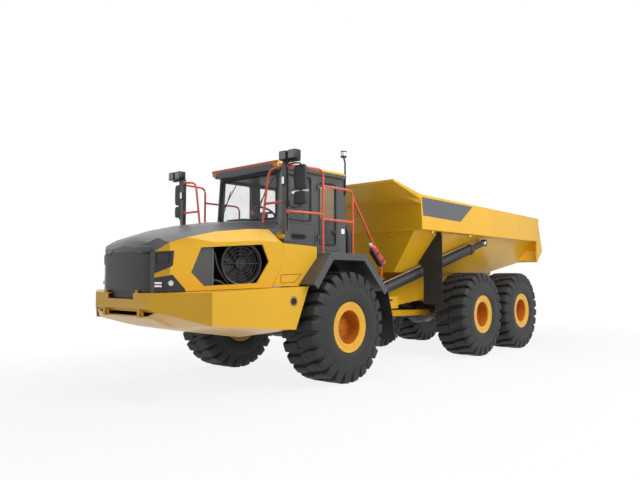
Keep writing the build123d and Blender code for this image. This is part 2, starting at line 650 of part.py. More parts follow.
# Deck on two cross walls, fenders, and mud panels with the access steps
FENDER_INNER = 930
FENDER_OUTER = 1700
deck_half = [(1100, FENDER_INNER - 1), (470, FENDER_INNER - 1), (470, 1432), (-342, 1432),
             (-342, FENDER_INNER - 1), (-1060, FENDER_INNER - 1)]
with BuildPart() as deck:
    layer(deck_half + [(ahead, -left) for ahead, left in deck_half[::-1]],
          DECK_TOP - DECK_PLATE, DECK_TOP)
    for ahead in (960, -900):
        block((ahead, ahead + 25), (-800, 800), (HITCH_TOP + SEAT_GAP, DECK_TOP - DECK_PLATE))
save(deck, "deck")

slope = Vector(fender_path[3][0] - fender_path[2][0], fender_path[3][1] - fender_path[2][1])
with BuildPart() as fenders:
    for side in SIDES.values():
        slab(ribbon(fender_path, -35), side * (1432 + SEAT_GAP), side * FENDER_OUTER)
        slab(ribbon(fender_path, -110), side * (FENDER_OUTER - 25), side * FENDER_OUTER)
        slab(ribbon(fender_path[:2], -35), side * FENDER_INNER, side * 1434)
        slab(ribbon(fender_path[2:], -35), side * FENDER_INNER, side * 1434)
    for share in (0.3, 0.65):
        tread = Vector(*fender_path[2]) + slope * share
        block((tread.X - 200, tread.X), (1130, 1640), (tread.Y - 30, tread.Y))
save(fenders, "fenders")

mud_path = [(fender_path[3][0] - SEAT_GAP, fender_path[3][1]), (-1130, 1000), (-1200, 600)]
STEP_THICKNESS = 35


def mud_face(height):
    """Station of the mud panel's front face at a height."""
    top, bottom = mud_path[:2] if height > mud_path[1][1] else mud_path[1:]
    return top[0] + (bottom[0] - top[0]) * (height - top[1]) / (bottom[1] - top[1])


with BuildPart() as mud_panels:
    for side in SIDES.values():
        slab(ribbon(mud_path, 18), side * 950, side * 1690)
    for height in (640, 960, 1280):
        block((mud_face(height) - 165, mud_face(height) - 5), (1150, 1640),
              (height, height + STEP_THICKNESS))
save(mud_panels, "mud_panels")

# Cab: a hollow box with its windows cut, a separate roof and a hinged door on the left
RAKE = 60
WINDOW_HALF = 700
WINDOW_LOW = SILL_HEIGHT
cab_side = [(CAB_FRONT, CAB_FLOOR), (CAB_FRONT, SILL_HEIGHT), (CAB_FRONT - RAKE, CAB_EAVES),
            (CAB_REAR, CAB_EAVES), (CAB_REAR, CAB_FLOOR)]
cab_inside = [(CAB_FRONT - CAB_WALL, CAB_FLOOR + CAB_WALL), (CAB_FRONT - CAB_WALL, SILL_HEIGHT),
              (CAB_FRONT - RAKE - CAB_WALL, CAB_EAVES), (CAB_REAR + CAB_WALL, CAB_EAVES),
              (CAB_REAR + CAB_WALL, CAB_FLOOR + CAB_WALL)]
SIDE_WINDOW = [(655, WINDOW_LOW), (610, WINDOW_TOP), (-20, WINDOW_TOP), (-20, WINDOW_LOW)]
REAR_SIDE_WINDOW = [(-230, WINDOW_LOW), (-230, WINDOW_TOP), (-690, WINDOW_TOP), (-690, WINDOW_LOW)]
DOOR_HINGE = (DOOR_FRONT + 5, CAB_HALF_WIDTH + 14)
DOOR_PIN_RADIUS = 8
KNUCKLE_RADIUS = 14
KNUCKLE_HEIGHT = 50
HINGE_HEIGHTS = (DOOR_LOW + 160, WINDOW_TOP - 210)


def door_leaf(height, rearward):
    """Hinge leaf with its knuckle, on the outside of the cab's wall or of the door."""
    centre = place(DOOR_HINGE[0], DOOR_HINGE[1], height)
    rod(centre, centre + Vector(0, 0, KNUCKLE_HEIGHT), KNUCKLE_RADIUS, sides=16)
    ends = sorted((DOOR_HINGE[0], DOOR_HINGE[0] + rearward))
    block(ends, (CAB_HALF_WIDTH, CAB_HALF_WIDTH + 8), (height, height + KNUCKLE_HEIGHT))


DOOR_WINDOW_LOW = 2260
DOOR_WINDOW_TOP = WINDOW_TOP - 50
DOOR_WINDOW = [(-240, DOOR_WINDOW_LOW), (-240, DOOR_WINDOW_TOP), (-680, DOOR_WINDOW_TOP),
               (-680, DOOR_WINDOW_LOW)]
REAR_WINDOW = (SILL_HEIGHT + 50, WINDOW_TOP - 10)
with BuildPart() as cab_shell:
    slab(cab_side, -CAB_HALF_WIDTH, CAB_HALF_WIDTH)
    slab(cab_inside, -CAB_HALF_WIDTH + CAB_WALL, CAB_HALF_WIDTH - CAB_WALL, mode=Mode.SUBTRACT)
    block((400, 900), (-WINDOW_HALF, WINDOW_HALF), (WINDOW_LOW, WINDOW_TOP), mode=Mode.SUBTRACT)
    block((-1000, -900), (-600, 600), REAR_WINDOW, mode=Mode.SUBTRACT)
    slab(SIDE_WINDOW, -900, 900, mode=Mode.SUBTRACT)
    slab(REAR_SIDE_WINDOW, -900, 0, mode=Mode.SUBTRACT)
    block((DOOR_REAR, DOOR_FRONT), (600, 900), (DOOR_LOW, WINDOW_TOP), mode=Mode.SUBTRACT)
    for ahead in (-800, 600):
        for side in SIDES.values():
            block((ahead - 60, ahead + 60), (side * 560, side * 680), (DECK_TOP + SEAT_GAP, CAB_FLOOR))
    for height in HINGE_HEIGHTS:
        door_leaf(height, 60)
        pin = place(DOOR_HINGE[0], DOOR_HINGE[1], height)
        rod(pin, pin + Vector(0, 0, 2 * KNUCKLE_HEIGHT + 10), DOOR_PIN_RADIUS)
save(cab_shell, "cab_shell")

with BuildPart() as cab_roof:
    block((CAB_REAR + 60, CAB_FRONT + 80), (-840, 840), (CAB_EAVES, ROOF_TOP))
    chamfer(cab_roof.edges().filter_by(GeomType.LINE).group_by(Axis.Z)[-1], 30)
    block((CAB_REAR + 110, CAB_FRONT - RAKE - CAB_WALL), (-730, 730), (CAB_EAVES, CAB_EAVES + 50),
          mode=Mode.SUBTRACT)
save(cab_roof, "cab_roof")


def pane(outline, left):
    """Sheet of side glass in the middle of the wall."""
    with BuildSketch(side_plane(left + GLASS_THICKNESS / 2)) as sheet:
        with BuildLine():
            Polyline(*outline, close=True)
        make_face()
        offset(amount=-SEAT_GAP, kind=Kind.INTERSECTION, mode=Mode.REPLACE)
    extrude(sheet.sketch, amount=GLASS_THICKNESS)


GLASS_LEFT = CAB_HALF_WIDTH - CAB_WALL / 2
screen_run = (RAKE / (CAB_EAVES - SILL_HEIGHT))
screen_low = CAB_FRONT - CAB_WALL / 2 - screen_run * (WINDOW_LOW - SILL_HEIGHT)
screen_high = CAB_FRONT - CAB_WALL / 2 - screen_run * (WINDOW_TOP - SILL_HEIGHT)
with BuildPart() as cab_glass:
    slab(ribbon([(screen_low, WINDOW_LOW + SEAT_GAP), (screen_high, WINDOW_TOP - SEAT_GAP - 1)],
                GLASS_THICKNESS), -WINDOW_HALF + SEAT_GAP, WINDOW_HALF - SEAT_GAP)
    block((CAB_REAR + 20, CAB_REAR + 20 + GLASS_THICKNESS), (-600 + SEAT_GAP, 600 - SEAT_GAP),
          (REAR_WINDOW[0] + SEAT_GAP, REAR_WINDOW[1] - SEAT_GAP))
    for side in SIDES.values():
        pane(SIDE_WINDOW, side * GLASS_LEFT)
    pane(REAR_SIDE_WINDOW, -GLASS_LEFT)
save(cab_glass, "cab_glass")

DOOR_THICKNESS = CAB_WALL - 5
with BuildPart() as cab_door:
    block((DOOR_REAR + DOOR_GAP, DOOR_FRONT - DOOR_GAP),
          (CAB_HALF_WIDTH - DOOR_THICKNESS, CAB_HALF_WIDTH),
          (DOOR_LOW + DOOR_GAP, WINDOW_TOP - DOOR_GAP))
    slab(DOOR_WINDOW, 600, 900, mode=Mode.SUBTRACT)
    for height in HINGE_HEIGHTS:
        door_leaf(height + KNUCKLE_HEIGHT + SEAT_GAP, -80)
        pin = place(DOOR_HINGE[0], DOOR_HINGE[1], height)
        rod(pin, pin + Vector(0, 0, 3 * KNUCKLE_HEIGHT), DOOR_PIN_RADIUS + PIN_CLEARANCE,
            mode=Mode.SUBTRACT)
save(cab_door, "cab_door")
with BuildPart() as door_glass:
    pane(DOOR_WINDOW, GLASS_LEFT)
save(door_glass, "door_glass")

# Seat on its pedestal, and the steering column with its wheel
with BuildPart() as seat:
    slab([(-420, 2560), (140, 2570), (150, 2670), (-420, 2660)], -260, 260)
    slab([(-420, 2560), (-420, 2760), (-560, 3290), (-660, 3270), (-560, 2560)], -260, 260)
    block((-450, 20), (-180, 180), (CAB_FLOOR + CAB_WALL + SEAT_GAP, 2562))
save(seat, "seat")
wheel_centre = place(330, 0, 2820)
wheel_tilt = Vector(-0.5, 0, 0.866)
with BuildPart() as steering_column:
    rod(place(560, 0, CAB_FLOOR + CAB_WALL + 40), wheel_centre, 45, sides=8)
    block((490, 630), (-75, 75), (CAB_FLOOR + CAB_WALL + SEAT_GAP, CAB_FLOOR + CAB_WALL + 60))
    rod(wheel_centre - wheel_tilt * 10, wheel_centre + wheel_tilt * 12, 215, sides=18)
    rod(wheel_centre - wheel_tilt * 30, wheel_centre + wheel_tilt * 30, 180, sides=18,
        mode=Mode.SUBTRACT)
    rod(wheel_centre - wheel_tilt * 32, wheel_centre + wheel_tilt * 10, 50, sides=8)
    with Locations(Plane(origin=wheel_centre, x_dir=(0, 1, 0), z_dir=wheel_tilt)):
        Box(380, 40, 16)
save(steering_column, "steering_column")

# Masts on the side panels, with the lamps and mirrors
MAST_BACK = 1085
MAST_DEPTH = 70
MAST_INNER = 1265
MAST_OUTER = 1345
MAST_TOP = 3440
MAST_FOOT_TOP = 2310
MAST_FOOT_INNER = 1180
mast_span = (MAST_BACK, MAST_BACK + MAST_DEPTH)
with BuildPart() as lamp_masts:
    for side in SIDES.values():
        block(mast_span, (side * MAST_INNER, side * MAST_OUTER), (MAST_FOOT_TOP - 20, MAST_TOP))
        section_loft([
            (ahead, [(side * MAST_FOOT_INNER, MAST_FOOT_TOP),
                     (side * MAST_FOOT_INNER, panel_top(ahead, MAST_FOOT_INNER) + SEAT_GAP),
                     (side * 1325, panel_top(ahead, 1325) + SEAT_GAP),
                     (side * MAST_OUTER, MAST_FOOT_TOP - 60), (side * MAST_OUTER, MAST_FOOT_TOP)])
            for ahead in (MAST_BACK - 40, MAST_BACK + MAST_DEPTH + 10)
        ])
save(lamp_masts, "lamp_masts")

with BuildPart() as work_lamps:
    for side in SIDES.values():
        block((MAST_BACK, MAST_BACK + 150), (side * MAST_INNER, side * 1620),
              (MAST_TOP + SEAT_GAP, MAST_TOP + 170))
save(work_lamps, "work_lamps")

MIRROR_AHEAD = 1000
with BuildPart() as mirrors:
    for side in SIDES.values():
        for low, high in ((2790, 3000), (3020, 3400)):
            block((MIRROR_AHEAD, MIRROR_AHEAD + 60), (side * 1420, side * 1660), (low, high))
        block((MIRROR_AHEAD + 10, MAST_BACK + 40), (side * (MAST_OUTER + SEAT_GAP), side * 1440),
              (3080, 3110))
        block((MIRROR_AHEAD + 10, MAST_BACK + 40), (side * (MAST_OUTER + SEAT_GAP), side * 1440),
              (2860, 2890))
        block((MIRROR_AHEAD + 10, MIRROR_AHEAD + 40), (side * 1530, side * 1550), (2995, 3025))
save(mirrors, "mirrors")

# Handrails: paths as (ahead, left, height)
RAIL_LEFT = 1452
RAIL_FOOT = DECK_TOP + SEAT_GAP
GUARD_LEFT = 800
cowl_slope = (cowl_half[2][1] - cowl_half[1][1]) / (cowl_half[1][0] - cowl_half[2][0])
GUARD_FOOT = cowl_half[1][1] + (COWL_HALF_WIDTH - GUARD_LEFT) * cowl_slope + 7
rail_paths = [
    [(1120, MAST_OUTER + 21, 3410), (420, RAIL_LEFT, 3410), (420, RAIL_LEFT, RAIL_FOOT)],
    [(1120, MAST_OUTER + 21, 2700), (420, RAIL_LEFT, 2700)],
    [(420, RAIL_LEFT, 3150), (-330, RAIL_LEFT, 3150), (-330, RAIL_LEFT, RAIL_FOOT)],
    [(420, RAIL_LEFT, 2620), (-330, RAIL_LEFT, 2620)],
    [(-330, RAIL_LEFT, 3040), (-1130, RAIL_LEFT, 1970), (-1130, RAIL_LEFT, 1280 + STEP_THICKNESS + SEAT_GAP)],
    [(1120, -MAST_OUTER - 21, 3380), (520, -RAIL_LEFT, 3380), (520, -RAIL_LEFT, RAIL_FOOT)],
    [(520, -RAIL_LEFT, 3100), (-330, -RAIL_LEFT, 3100), (-330, -RAIL_LEFT, RAIL_FOOT)],
    [(520, -RAIL_LEFT, 2620), (-330, -RAIL_LEFT, 2620)],
    [(1120, GUARD_LEFT, GUARD_FOOT), (1120, 940, 3370), (1120, MAST_INNER - 3, 3400)],
    [(1120, 850, 2850), (1120, MAST_INNER - SEAT_GAP, 2850)],
    [(1120, -GUARD_LEFT, GUARD_FOOT), (1120, -940, 3370), (1120, -MAST_INNER + 3, 3400)],
    [(1120, -850, 2850), (1120, -MAST_INNER + SEAT_GAP, 2850)],
]
with BuildPart() as handrails:
    for points in rail_paths:
        tube(points)
save(handrails, "handrails")

# Air cleaner behind the cab, and the beacon on its mast
with BuildPart() as air_cleaner:
    rod(place(-1120, -330, DECK_TOP + 60), place(-1120, -330, 2900), 130, sides=16)
    rod(place(-1120, -330, 2780), place(CAB_REAR - SEAT_GAP, -330, 2780), 80, sides=12)
    block((-1070, -1000), (-400, -260), (DECK_TOP + SEAT_GAP, DECK_TOP + 100))
save(air_cleaner, "air_cleaner")
BEACON_TUBE_RADIUS = 16
MAST_LEFT = CAB_HALF_WIDTH + BEACON_TUBE_RADIUS * math.cos(math.pi / 6) + SEAT_GAP
with BuildPart() as beacon:
    tube([(-930, MAST_LEFT, 3200), (-930, MAST_LEFT, 3800), (-920, 770, 3900)],
         radius=BEACON_TUBE_RADIUS)
    rod(place(-920, 770, 3895), place(-920, 770, 4010), 58, sides=12)
save(beacon, "beacon")

# Rear frame: two rails, a ring round the roll tube, the tip lugs and the hoist feet
REAR_RAIL_INNER = 400
REAR_RAIL_OUTER = 480
RAIL_TOP = 1600
TIP_LUG_RADIUS = 105
rear_rail = [
    (ROLL_TUBE_END, 1050), (ROLL_TUBE_END, 1300), (-2600, 1360), (-3600, RAIL_TOP),
    (-7150, RAIL_TOP), (-7150, 1300), (-3900, 1200), (-2400, 1050),
]
RING_OUTER = ROLL_TUBE_RADIUS + 45
RING_FRONT = ROLL_TUBE_END + 190


def hoist_frame(side):
    """Foot and eye of a hoist cylinder, its direction and its hinge axis."""
    foot = place(HOIST_FOOT[0], side * HOIST_FOOT[1], HOIST_FOOT[2])
    eye = place(HOIST_EYE[0], side * HOIST_EYE[1], HOIST_EYE[2])
    pivot = place(-TIP_BACK, side * HOIST_EYE[1], TIP_HEIGHT)
    raised = pivot + (eye - pivot).rotate(Axis.Y, -TIP_RANGE)
    along = (eye - foot).normalized()
    turn = ((raised - foot).normalized() - along).normalized()
    across = Vector(0, side, 0)
    axis = (across - turn * across.dot(turn)).normalized()
    return foot, eye, along, axis, (raised - foot).length - (eye - foot).length


HOIST_EYE_HALF = 45
ROD_EYE_HALF = 40
HOIST_PIN_RADIUS = 35
with BuildPart() as rear_frame:
    for side in SIDES.values():
        slab(rear_rail, side * REAR_RAIL_INNER, side * REAR_RAIL_OUTER)
        slab([(-6840, RAIL_TOP), (-6920, TIP_HEIGHT + 75), (-7080, TIP_HEIGHT + 75),
              (-7150, RAIL_TOP)], side * REAR_RAIL_INNER, side * REAR_RAIL_OUTER)
        slab([(-1880, 1070), (-1880, 1230), (-2200, 1230), (-2300, 1310), (-2700, 1310),
              (-2700, 1070)], side * 700, side * 725)
        for ahead in (-1910, -2700):
            block((ahead, ahead + 30), (side * REAR_RAIL_OUTER, side * 705), (1070, 1230))
        block((-2350, -2250), (side * 300, side * REAR_RAIL_OUTER), (880, 1060))
        foot, _, _, axis, _ = hoist_frame(side)
        rod(foot - axis * 195, foot - axis * (HOIST_EYE_HALF + 6), 68, sides=16)
        rod(foot - axis * 60, foot + axis * (HOIST_EYE_HALF + 22), HOIST_PIN_RADIUS)
        rod(foot + axis * (HOIST_EYE_HALF + 6), foot + axis * (HOIST_EYE_HALF + 20), 45, sides=12)
    block((ROLL_TUBE_END - 50, ROLL_TUBE_END), (-REAR_RAIL_OUTER, REAR_RAIL_OUTER), (930, 1310))
    rod(place(ROLL_TUBE_END, 0, ROLL_HEIGHT), place(RING_FRONT, 0, ROLL_HEIGHT), RING_OUTER, sides=24)
    rod(place(ROLL_TUBE_END, 0, ROLL_HEIGHT), place(RING_FRONT, 0, ROLL_HEIGHT),
        ROLL_TUBE_RADIUS + ROD_CLEARANCE, mode=Mode.SUBTRACT)
    for ahead in (-3700, -5560, -7120):
        block((ahead, ahead + 60), (-REAR_RAIL_INNER, REAR_RAIL_INNER), (1320, 1560))
    rod(place(-TIP_BACK, -600, TIP_HEIGHT), place(-TIP_BACK, 600, TIP_HEIGHT),
        TIP_PIN_RADIUS + PIN_CLEARANCE, mode=Mode.SUBTRACT)
save(rear_frame, "rear_frame")

# Rear suspension: a beam on each side across both axles, and the stays to the middle axle
BEAM_MIDDLE = -WHEELBASE - TANDEM_SPACING / 2
beam = [(BEAM_MIDDLE + 1180, BEAM_LOW), (BEAM_MIDDLE + 1180, BEAM_LOW + 90),
        (BEAM_MIDDLE + 250, 1290), (BEAM_MIDDLE - 250, 1290), (BEAM_MIDDLE - 1180, BEAM_LOW + 90),
        (BEAM_MIDDLE - 1180, BEAM_LOW)]
with BuildPart() as bogie_beams:
    for side in SIDES.values():
        slab(beam, side * BEAM_INNER, side * BEAM_OUTER)
        rod(place(BEAM_MIDDLE, side * (REAR_RAIL_OUTER + SEAT_GAP), 1205),
            place(BEAM_MIDDLE, side * (BEAM_OUTER + 25), 1205), 78, sides=16)
        block((BEAM_MIDDLE - 150, BEAM_MIDDLE + 150),
              (side * (REAR_RAIL_OUTER + SEAT_GAP), side * (REAR_RAIL_OUTER + 40)), (1130, 1400))
save(bogie_beams, "bogie_beams")
stay_end = -WHEELBASE + AXLE_TUBE_RADIUS * 1.15 + 1
stay_run = [(-2350 - SEAT_GAP, 1030), (stay_end, 960), (stay_end, 850), (-2350 - SEAT_GAP, 890)]
with BuildPart() as stays:
    for side in SIDES.values():
        slab(stay_run, side * 340, side * 420)
save(stays, "stays")

# Propeller shafts to the middle and rear axles
shaft_rise = HUB_HEIGHT + SNOUT_RISE
with BuildPart() as prop_shafts:
    rod(place(ROLL_TUBE_END - 50 - SEAT_GAP, 0, shaft_rise),
        place(-WHEELBASE + SNOUT_REACH + SEAT_GAP, 0, shaft_rise), 52, sides=12)
    rod(place(-WHEELBASE - DIFFERENTIAL_RADIUS - 1, 0, shaft_rise),
        place(-WHEELBASE - TANDEM_SPACING + SNOUT_REACH + SEAT_GAP, 0, shaft_rise), 52, sides=12)
save(prop_shafts, "prop_shafts")

# Hoist cylinders
for side_name, side in SIDES.items():
    foot, eye, along, axis, stroke = hoist_frame(side)
    span = (eye - foot).length
    gland = span - 450
    with BuildPart() as hoist_barrel:
        rod(foot - axis * HOIST_EYE_HALF, foot + axis * HOIST_EYE_HALF, 82, sides=24)
        rod(foot + along * 50, foot + along * 150, 34, sides=16)
        rod(foot + along * 135, foot + along * gland, HOIST_RADIUS, sides=24)
        rod(foot + along * (gland - 90), foot + along * gland, HOIST_RADIUS + 8, sides=24)
        rod(foot - axis * 100, foot + axis * 100, HOIST_PIN_RADIUS + PIN_CLEARANCE,
            mode=Mode.SUBTRACT)
        rod(foot + along * 160, foot + along * gland, HOIST_ROD_RADIUS + ROD_CLEARANCE,
            mode=Mode.SUBTRACT)
    save(hoist_barrel, f"hoist_barrel_{side_name}")
    with BuildPart() as hoist_rod:
        rod(eye - Vector(0, ROD_EYE_HALF, 0), eye + Vector(0, ROD_EYE_HALF, 0), 75, sides=24)
        rod(foot + along * 190, eye - along * 40, HOIST_ROD_RADIUS)
    save(hoist_rod, f"hoist_rod_{side_name}")

# Dump body: a hull with a narrow floor and flared sides, a box rail along the rim and a raised
# guard over the front
BODY_REAR = -GATE_PIVOT_BACK
FLOOR_BREAK = -6500
hull_half = [(FLOOR_HALF_WIDTH, HULL_LOW), (HULL_HALF_WIDTH, RAIL_LOW),
             (BODY_HALF_WIDTH, RAIL_LOW + 20), (BODY_HALF_WIDTH, BODY_RIM_FRONT)]
hold_half = [(FLOOR_HALF_WIDTH - 20, HULL_LOW + 50), (HULL_HALF_WIDTH - 35, RAIL_LOW),
             (BODY_HALF_WIDTH - 50, BODY_RIM_FRONT), (BODY_HALF_WIDTH - 50, 4000)]
hull_side = [
    (BODY_FRONT + 40, BODY_RIM_FRONT), (BODY_FRONT, RAIL_LOW + 20), (BODY_FRONT - 170, HULL_LOW),
    (FLOOR_BREAK, HULL_LOW), (BODY_REAR, HULL_LOW + 272), (BODY_REAR, BODY_RIM_REAR),
]
hold_side = [
    (BODY_FRONT + 40, 4000), (BODY_FRONT - 40, RAIL_LOW + 20), (BODY_FRONT - 220, HULL_LOW + 50),
    (FLOOR_BREAK, HULL_LOW + 50), (BODY_REAR - 100, HULL_LOW + 342), (BODY_REAR - 100, 4000),
]
with BuildPart() as hold:
    bulkhead(hold_half + mirrored(hold_half)[::-1], BODY_REAR - 100, BODY_FRONT + 400)
    slab(hold_side, -2000, 2000, mode=Mode.INTERSECT)
guard = [(BODY_FRONT + 20, 3150), (-2120, 3235), (-1740, 3500), (-1740, 3540), (-2230, 3440),
         (BODY_FRONT + 20, BODY_RIM_FRONT)]
GUARD_HALF_WIDTH = 1300
# The guard's outline drawn together at the rim's front corner
wing_end = [(BODY_FRONT + 10, 3100), (BODY_FRONT + 25, 3100), (BODY_FRONT + 50, 3200),
            (BODY_FRONT + 60, BODY_RIM_FRONT), (BODY_FRONT + 30, BODY_RIM_FRONT),
            (BODY_FRONT + 10, BODY_RIM_FRONT)]
BRACKET_FACE = 1350
BRACKET_BOSS_RADIUS = 20
BRACKET_GAP = 3
EAR_INNER = 1510
GATE_PIN_RADIUS = 30
ARM_OUTER = 1445
ARM_INNER = 1415
with BuildPart() as dump_body:
    bulkhead(hull_half + mirrored(hull_half)[::-1], BODY_REAR, BODY_FRONT + 400)
    slab(hull_side, -2000, 2000, mode=Mode.INTERSECT)
    slab(guard, -GUARD_HALF_WIDTH, GUARD_HALF_WIDTH)
    for side in SIDES.values():
        faceted([[place(ahead, side * left, height) for ahead, height in outline]
                 for left, outline in ((GUARD_HALF_WIDTH, guard), (BODY_HALF_WIDTH, wing_end))])
    add(hold.part, mode=Mode.SUBTRACT)
    for side in SIDES.values():
        slab([(-3620, RAIL_TOP + SEAT_GAP), (-3620, HULL_LOW), (FLOOR_BREAK, HULL_LOW),
              (-6810, HULL_LOW + 60), (-6810, RAIL_TOP + SEAT_GAP)],
             side * REAR_RAIL_INNER, side * REAR_RAIL_OUTER)
        slab([(-6780, HULL_LOW + 85), (-6920, TIP_HEIGHT - 80), (-7080, TIP_HEIGHT - 80),
              (-7240, HULL_LOW + 175)], side * (REAR_RAIL_OUTER + 8), side * 560)
        rod(place(-TIP_BACK, side * (REAR_RAIL_INNER - 20), TIP_HEIGHT),
            place(-TIP_BACK, side * 565, TIP_HEIGHT), TIP_PIN_RADIUS)
        block((HOIST_EYE[0] - 120, HOIST_EYE[0] + 40), (side * BRACKET_FACE, side * (BRACKET_FACE - 22)),
              (HOIST_EYE[2] - 70, RAIL_LOW + 15))
        rod(place(HOIST_EYE[0], side * BRACKET_FACE, HOIST_EYE[2]),
            place(HOIST_EYE[0], side * (HOIST_EYE[1] - ROD_EYE_HALF - BRACKET_GAP), HOIST_EYE[2]),
            BRACKET_BOSS_RADIUS, sides=16)
        slab([(BODY_REAR + 60, 3090), (BODY_REAR + 60, BODY_RIM_REAR), (BODY_REAR - 60, BODY_RIM_REAR),
              (BODY_REAR - 60, 3110)], side * EAR_INNER, side * BODY_HALF_WIDTH)
        rod(place(BODY_REAR, side * ARM_INNER, GATE_PIVOT_HEIGHT),
            place(BODY_REAR, side * (EAR_INNER + 5), GATE_PIVOT_HEIGHT), GATE_PIN_RADIUS)
save(dump_body, "dump_body")

# Mud flaps hang from the body in front of the middle wheels
FLAP_AHEAD = -3140
with BuildPart() as mud_flaps:
    for side in SIDES.values():
        bulkhead([(side * 1060, 1150), (side * 1060, 1900), (side * 925, 1985), (side * 1357, 2550),
                  (side * 1500, 2550), (side * 1500, 1150)], FLAP_AHEAD - 6, FLAP_AHEAD + 6)
        block((FLAP_AHEAD - 6, FLAP_AHEAD + 40), (side * 1390, side * 1500),
              (2530, RAIL_LOW + 2 - SEAT_GAP))
save(mud_flaps, "mud_flaps")

# Tailgate: a scoop-shaped plate that hangs on two arms from the body's rear corners
GATE_FRONT = BODY_REAR - 6
gate_path = [(-8000, 3120), (TAIL_X, 2380), (BODY_REAR - 46, 2085)]
cheek = [(GATE_FRONT, 3120), (-8000, 3120), (TAIL_X, 2380), (BODY_REAR - 46, 2085),
         (GATE_FRONT, 2120)]
with BuildPart() as tailgate:
    slab(ribbon(gate_path, -40), -1500, 1500)
    for side in SIDES.values():
        slab(cheek, side * 1470, side * 1500)
        slab([(GATE_FRONT, 3000), (BODY_REAR - 50, 3200), (-7960, 3190), (-8040, 2990)],
             side * ARM_INNER, side * ARM_OUTER)
        rod(place(BODY_REAR, side * ARM_INNER, GATE_PIVOT_HEIGHT),
            place(BODY_REAR, side * ARM_OUTER, GATE_PIVOT_HEIGHT), 58, sides=16)
        rod(place(BODY_REAR, side * (ARM_INNER - 50), GATE_PIVOT_HEIGHT),
            place(BODY_REAR, side * 1560, GATE_PIVOT_HEIGHT), GATE_PIN_RADIUS + PIN_CLEARANCE,
            mode=Mode.SUBTRACT)
save(tailgate, "tailgate")
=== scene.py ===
"""Studio scene of a three-axle articulated dump truck: camera, light, finishes and detailed pieces.

Every piece is worked out in metres in the model's frame: +X forward, +Y to the left, +Z up, with
the origin on the ground under the middle of the truck. Most corners are given ahead of the front
axle, and at() and placed() carry them into that frame.
"""

from __future__ import annotations

import json
import logging
import math
from dataclasses import dataclass, field
from enum import Enum
from typing import Any, Mapping, Sequence

import bmesh
import bpy
import numpy as np
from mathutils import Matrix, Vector

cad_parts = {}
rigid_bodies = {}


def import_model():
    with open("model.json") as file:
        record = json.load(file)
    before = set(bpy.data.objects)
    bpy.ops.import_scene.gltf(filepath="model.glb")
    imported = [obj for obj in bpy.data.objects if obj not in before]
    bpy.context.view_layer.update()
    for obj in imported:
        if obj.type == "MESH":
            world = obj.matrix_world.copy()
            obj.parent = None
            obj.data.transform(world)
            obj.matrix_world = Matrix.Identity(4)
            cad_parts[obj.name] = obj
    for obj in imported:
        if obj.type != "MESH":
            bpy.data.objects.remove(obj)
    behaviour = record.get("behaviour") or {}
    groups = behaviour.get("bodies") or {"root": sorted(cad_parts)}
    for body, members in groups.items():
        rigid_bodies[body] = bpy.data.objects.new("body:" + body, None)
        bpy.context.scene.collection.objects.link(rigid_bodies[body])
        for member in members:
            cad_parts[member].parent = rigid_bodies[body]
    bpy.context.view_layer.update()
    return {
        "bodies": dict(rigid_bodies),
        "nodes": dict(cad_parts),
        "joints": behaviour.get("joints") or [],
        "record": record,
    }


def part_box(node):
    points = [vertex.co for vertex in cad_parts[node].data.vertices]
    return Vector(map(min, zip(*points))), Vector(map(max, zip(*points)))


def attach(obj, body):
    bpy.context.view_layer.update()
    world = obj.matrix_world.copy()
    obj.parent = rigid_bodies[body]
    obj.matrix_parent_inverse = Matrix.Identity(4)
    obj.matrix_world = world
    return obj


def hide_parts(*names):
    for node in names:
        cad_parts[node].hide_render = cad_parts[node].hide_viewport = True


LOG = logging.getLogger("dump_truck")
Array = np.ndarray
Colour = tuple[float, float, float]
Point = tuple[float, float, float]
Points = Sequence[Sequence[float]]

FRONT_AXLE = 2.575
HUB_HEIGHT = 0.89989
HALF_TRACK = 1.318
AXLES = {"front": 0.0, "mid": -4.55, "rear": -6.52}
SIDES = {"left": 1, "right": -1}
AHEAD: Point = (1.0, 0.0, 0.0)
LEFT: Point = (0.0, 1.0, 0.0)
UP: Point = (0.0, 0.0, 1.0)
ASKEW: Point = (0.36, 0.48, 0.8)
MERGE = 1e-6
SOLID_MERGE = 2e-5
FLAT_ANGLE = 0.05
BEVEL_ANGLE = 24
HEAD_SIDES = 6
DUST: Colour = (0.33, 0.28, 0.22)
WHITE = (1.0, 1.0, 1.0, 1.0)
SKY = (0.95, 0.97, 1.0, 1.0)
CAMERA_RAY, GLOSSY_RAY, THROUGH_RAY = 0, 3, 6
PILLOW_STEPS = 28


def at(ahead: float, left: float, height: float) -> Array:
    """Point given ahead of the front axle, as a point of the model's frame."""
    return np.array((FRONT_AXLE + ahead, left, height), float)


def placed(corners: Points) -> Array:
    """Points given ahead of the front axle, as points of the model's frame."""
    return np.asarray(corners, float) + (FRONT_AXLE, 0.0, 0.0)


# Shader building


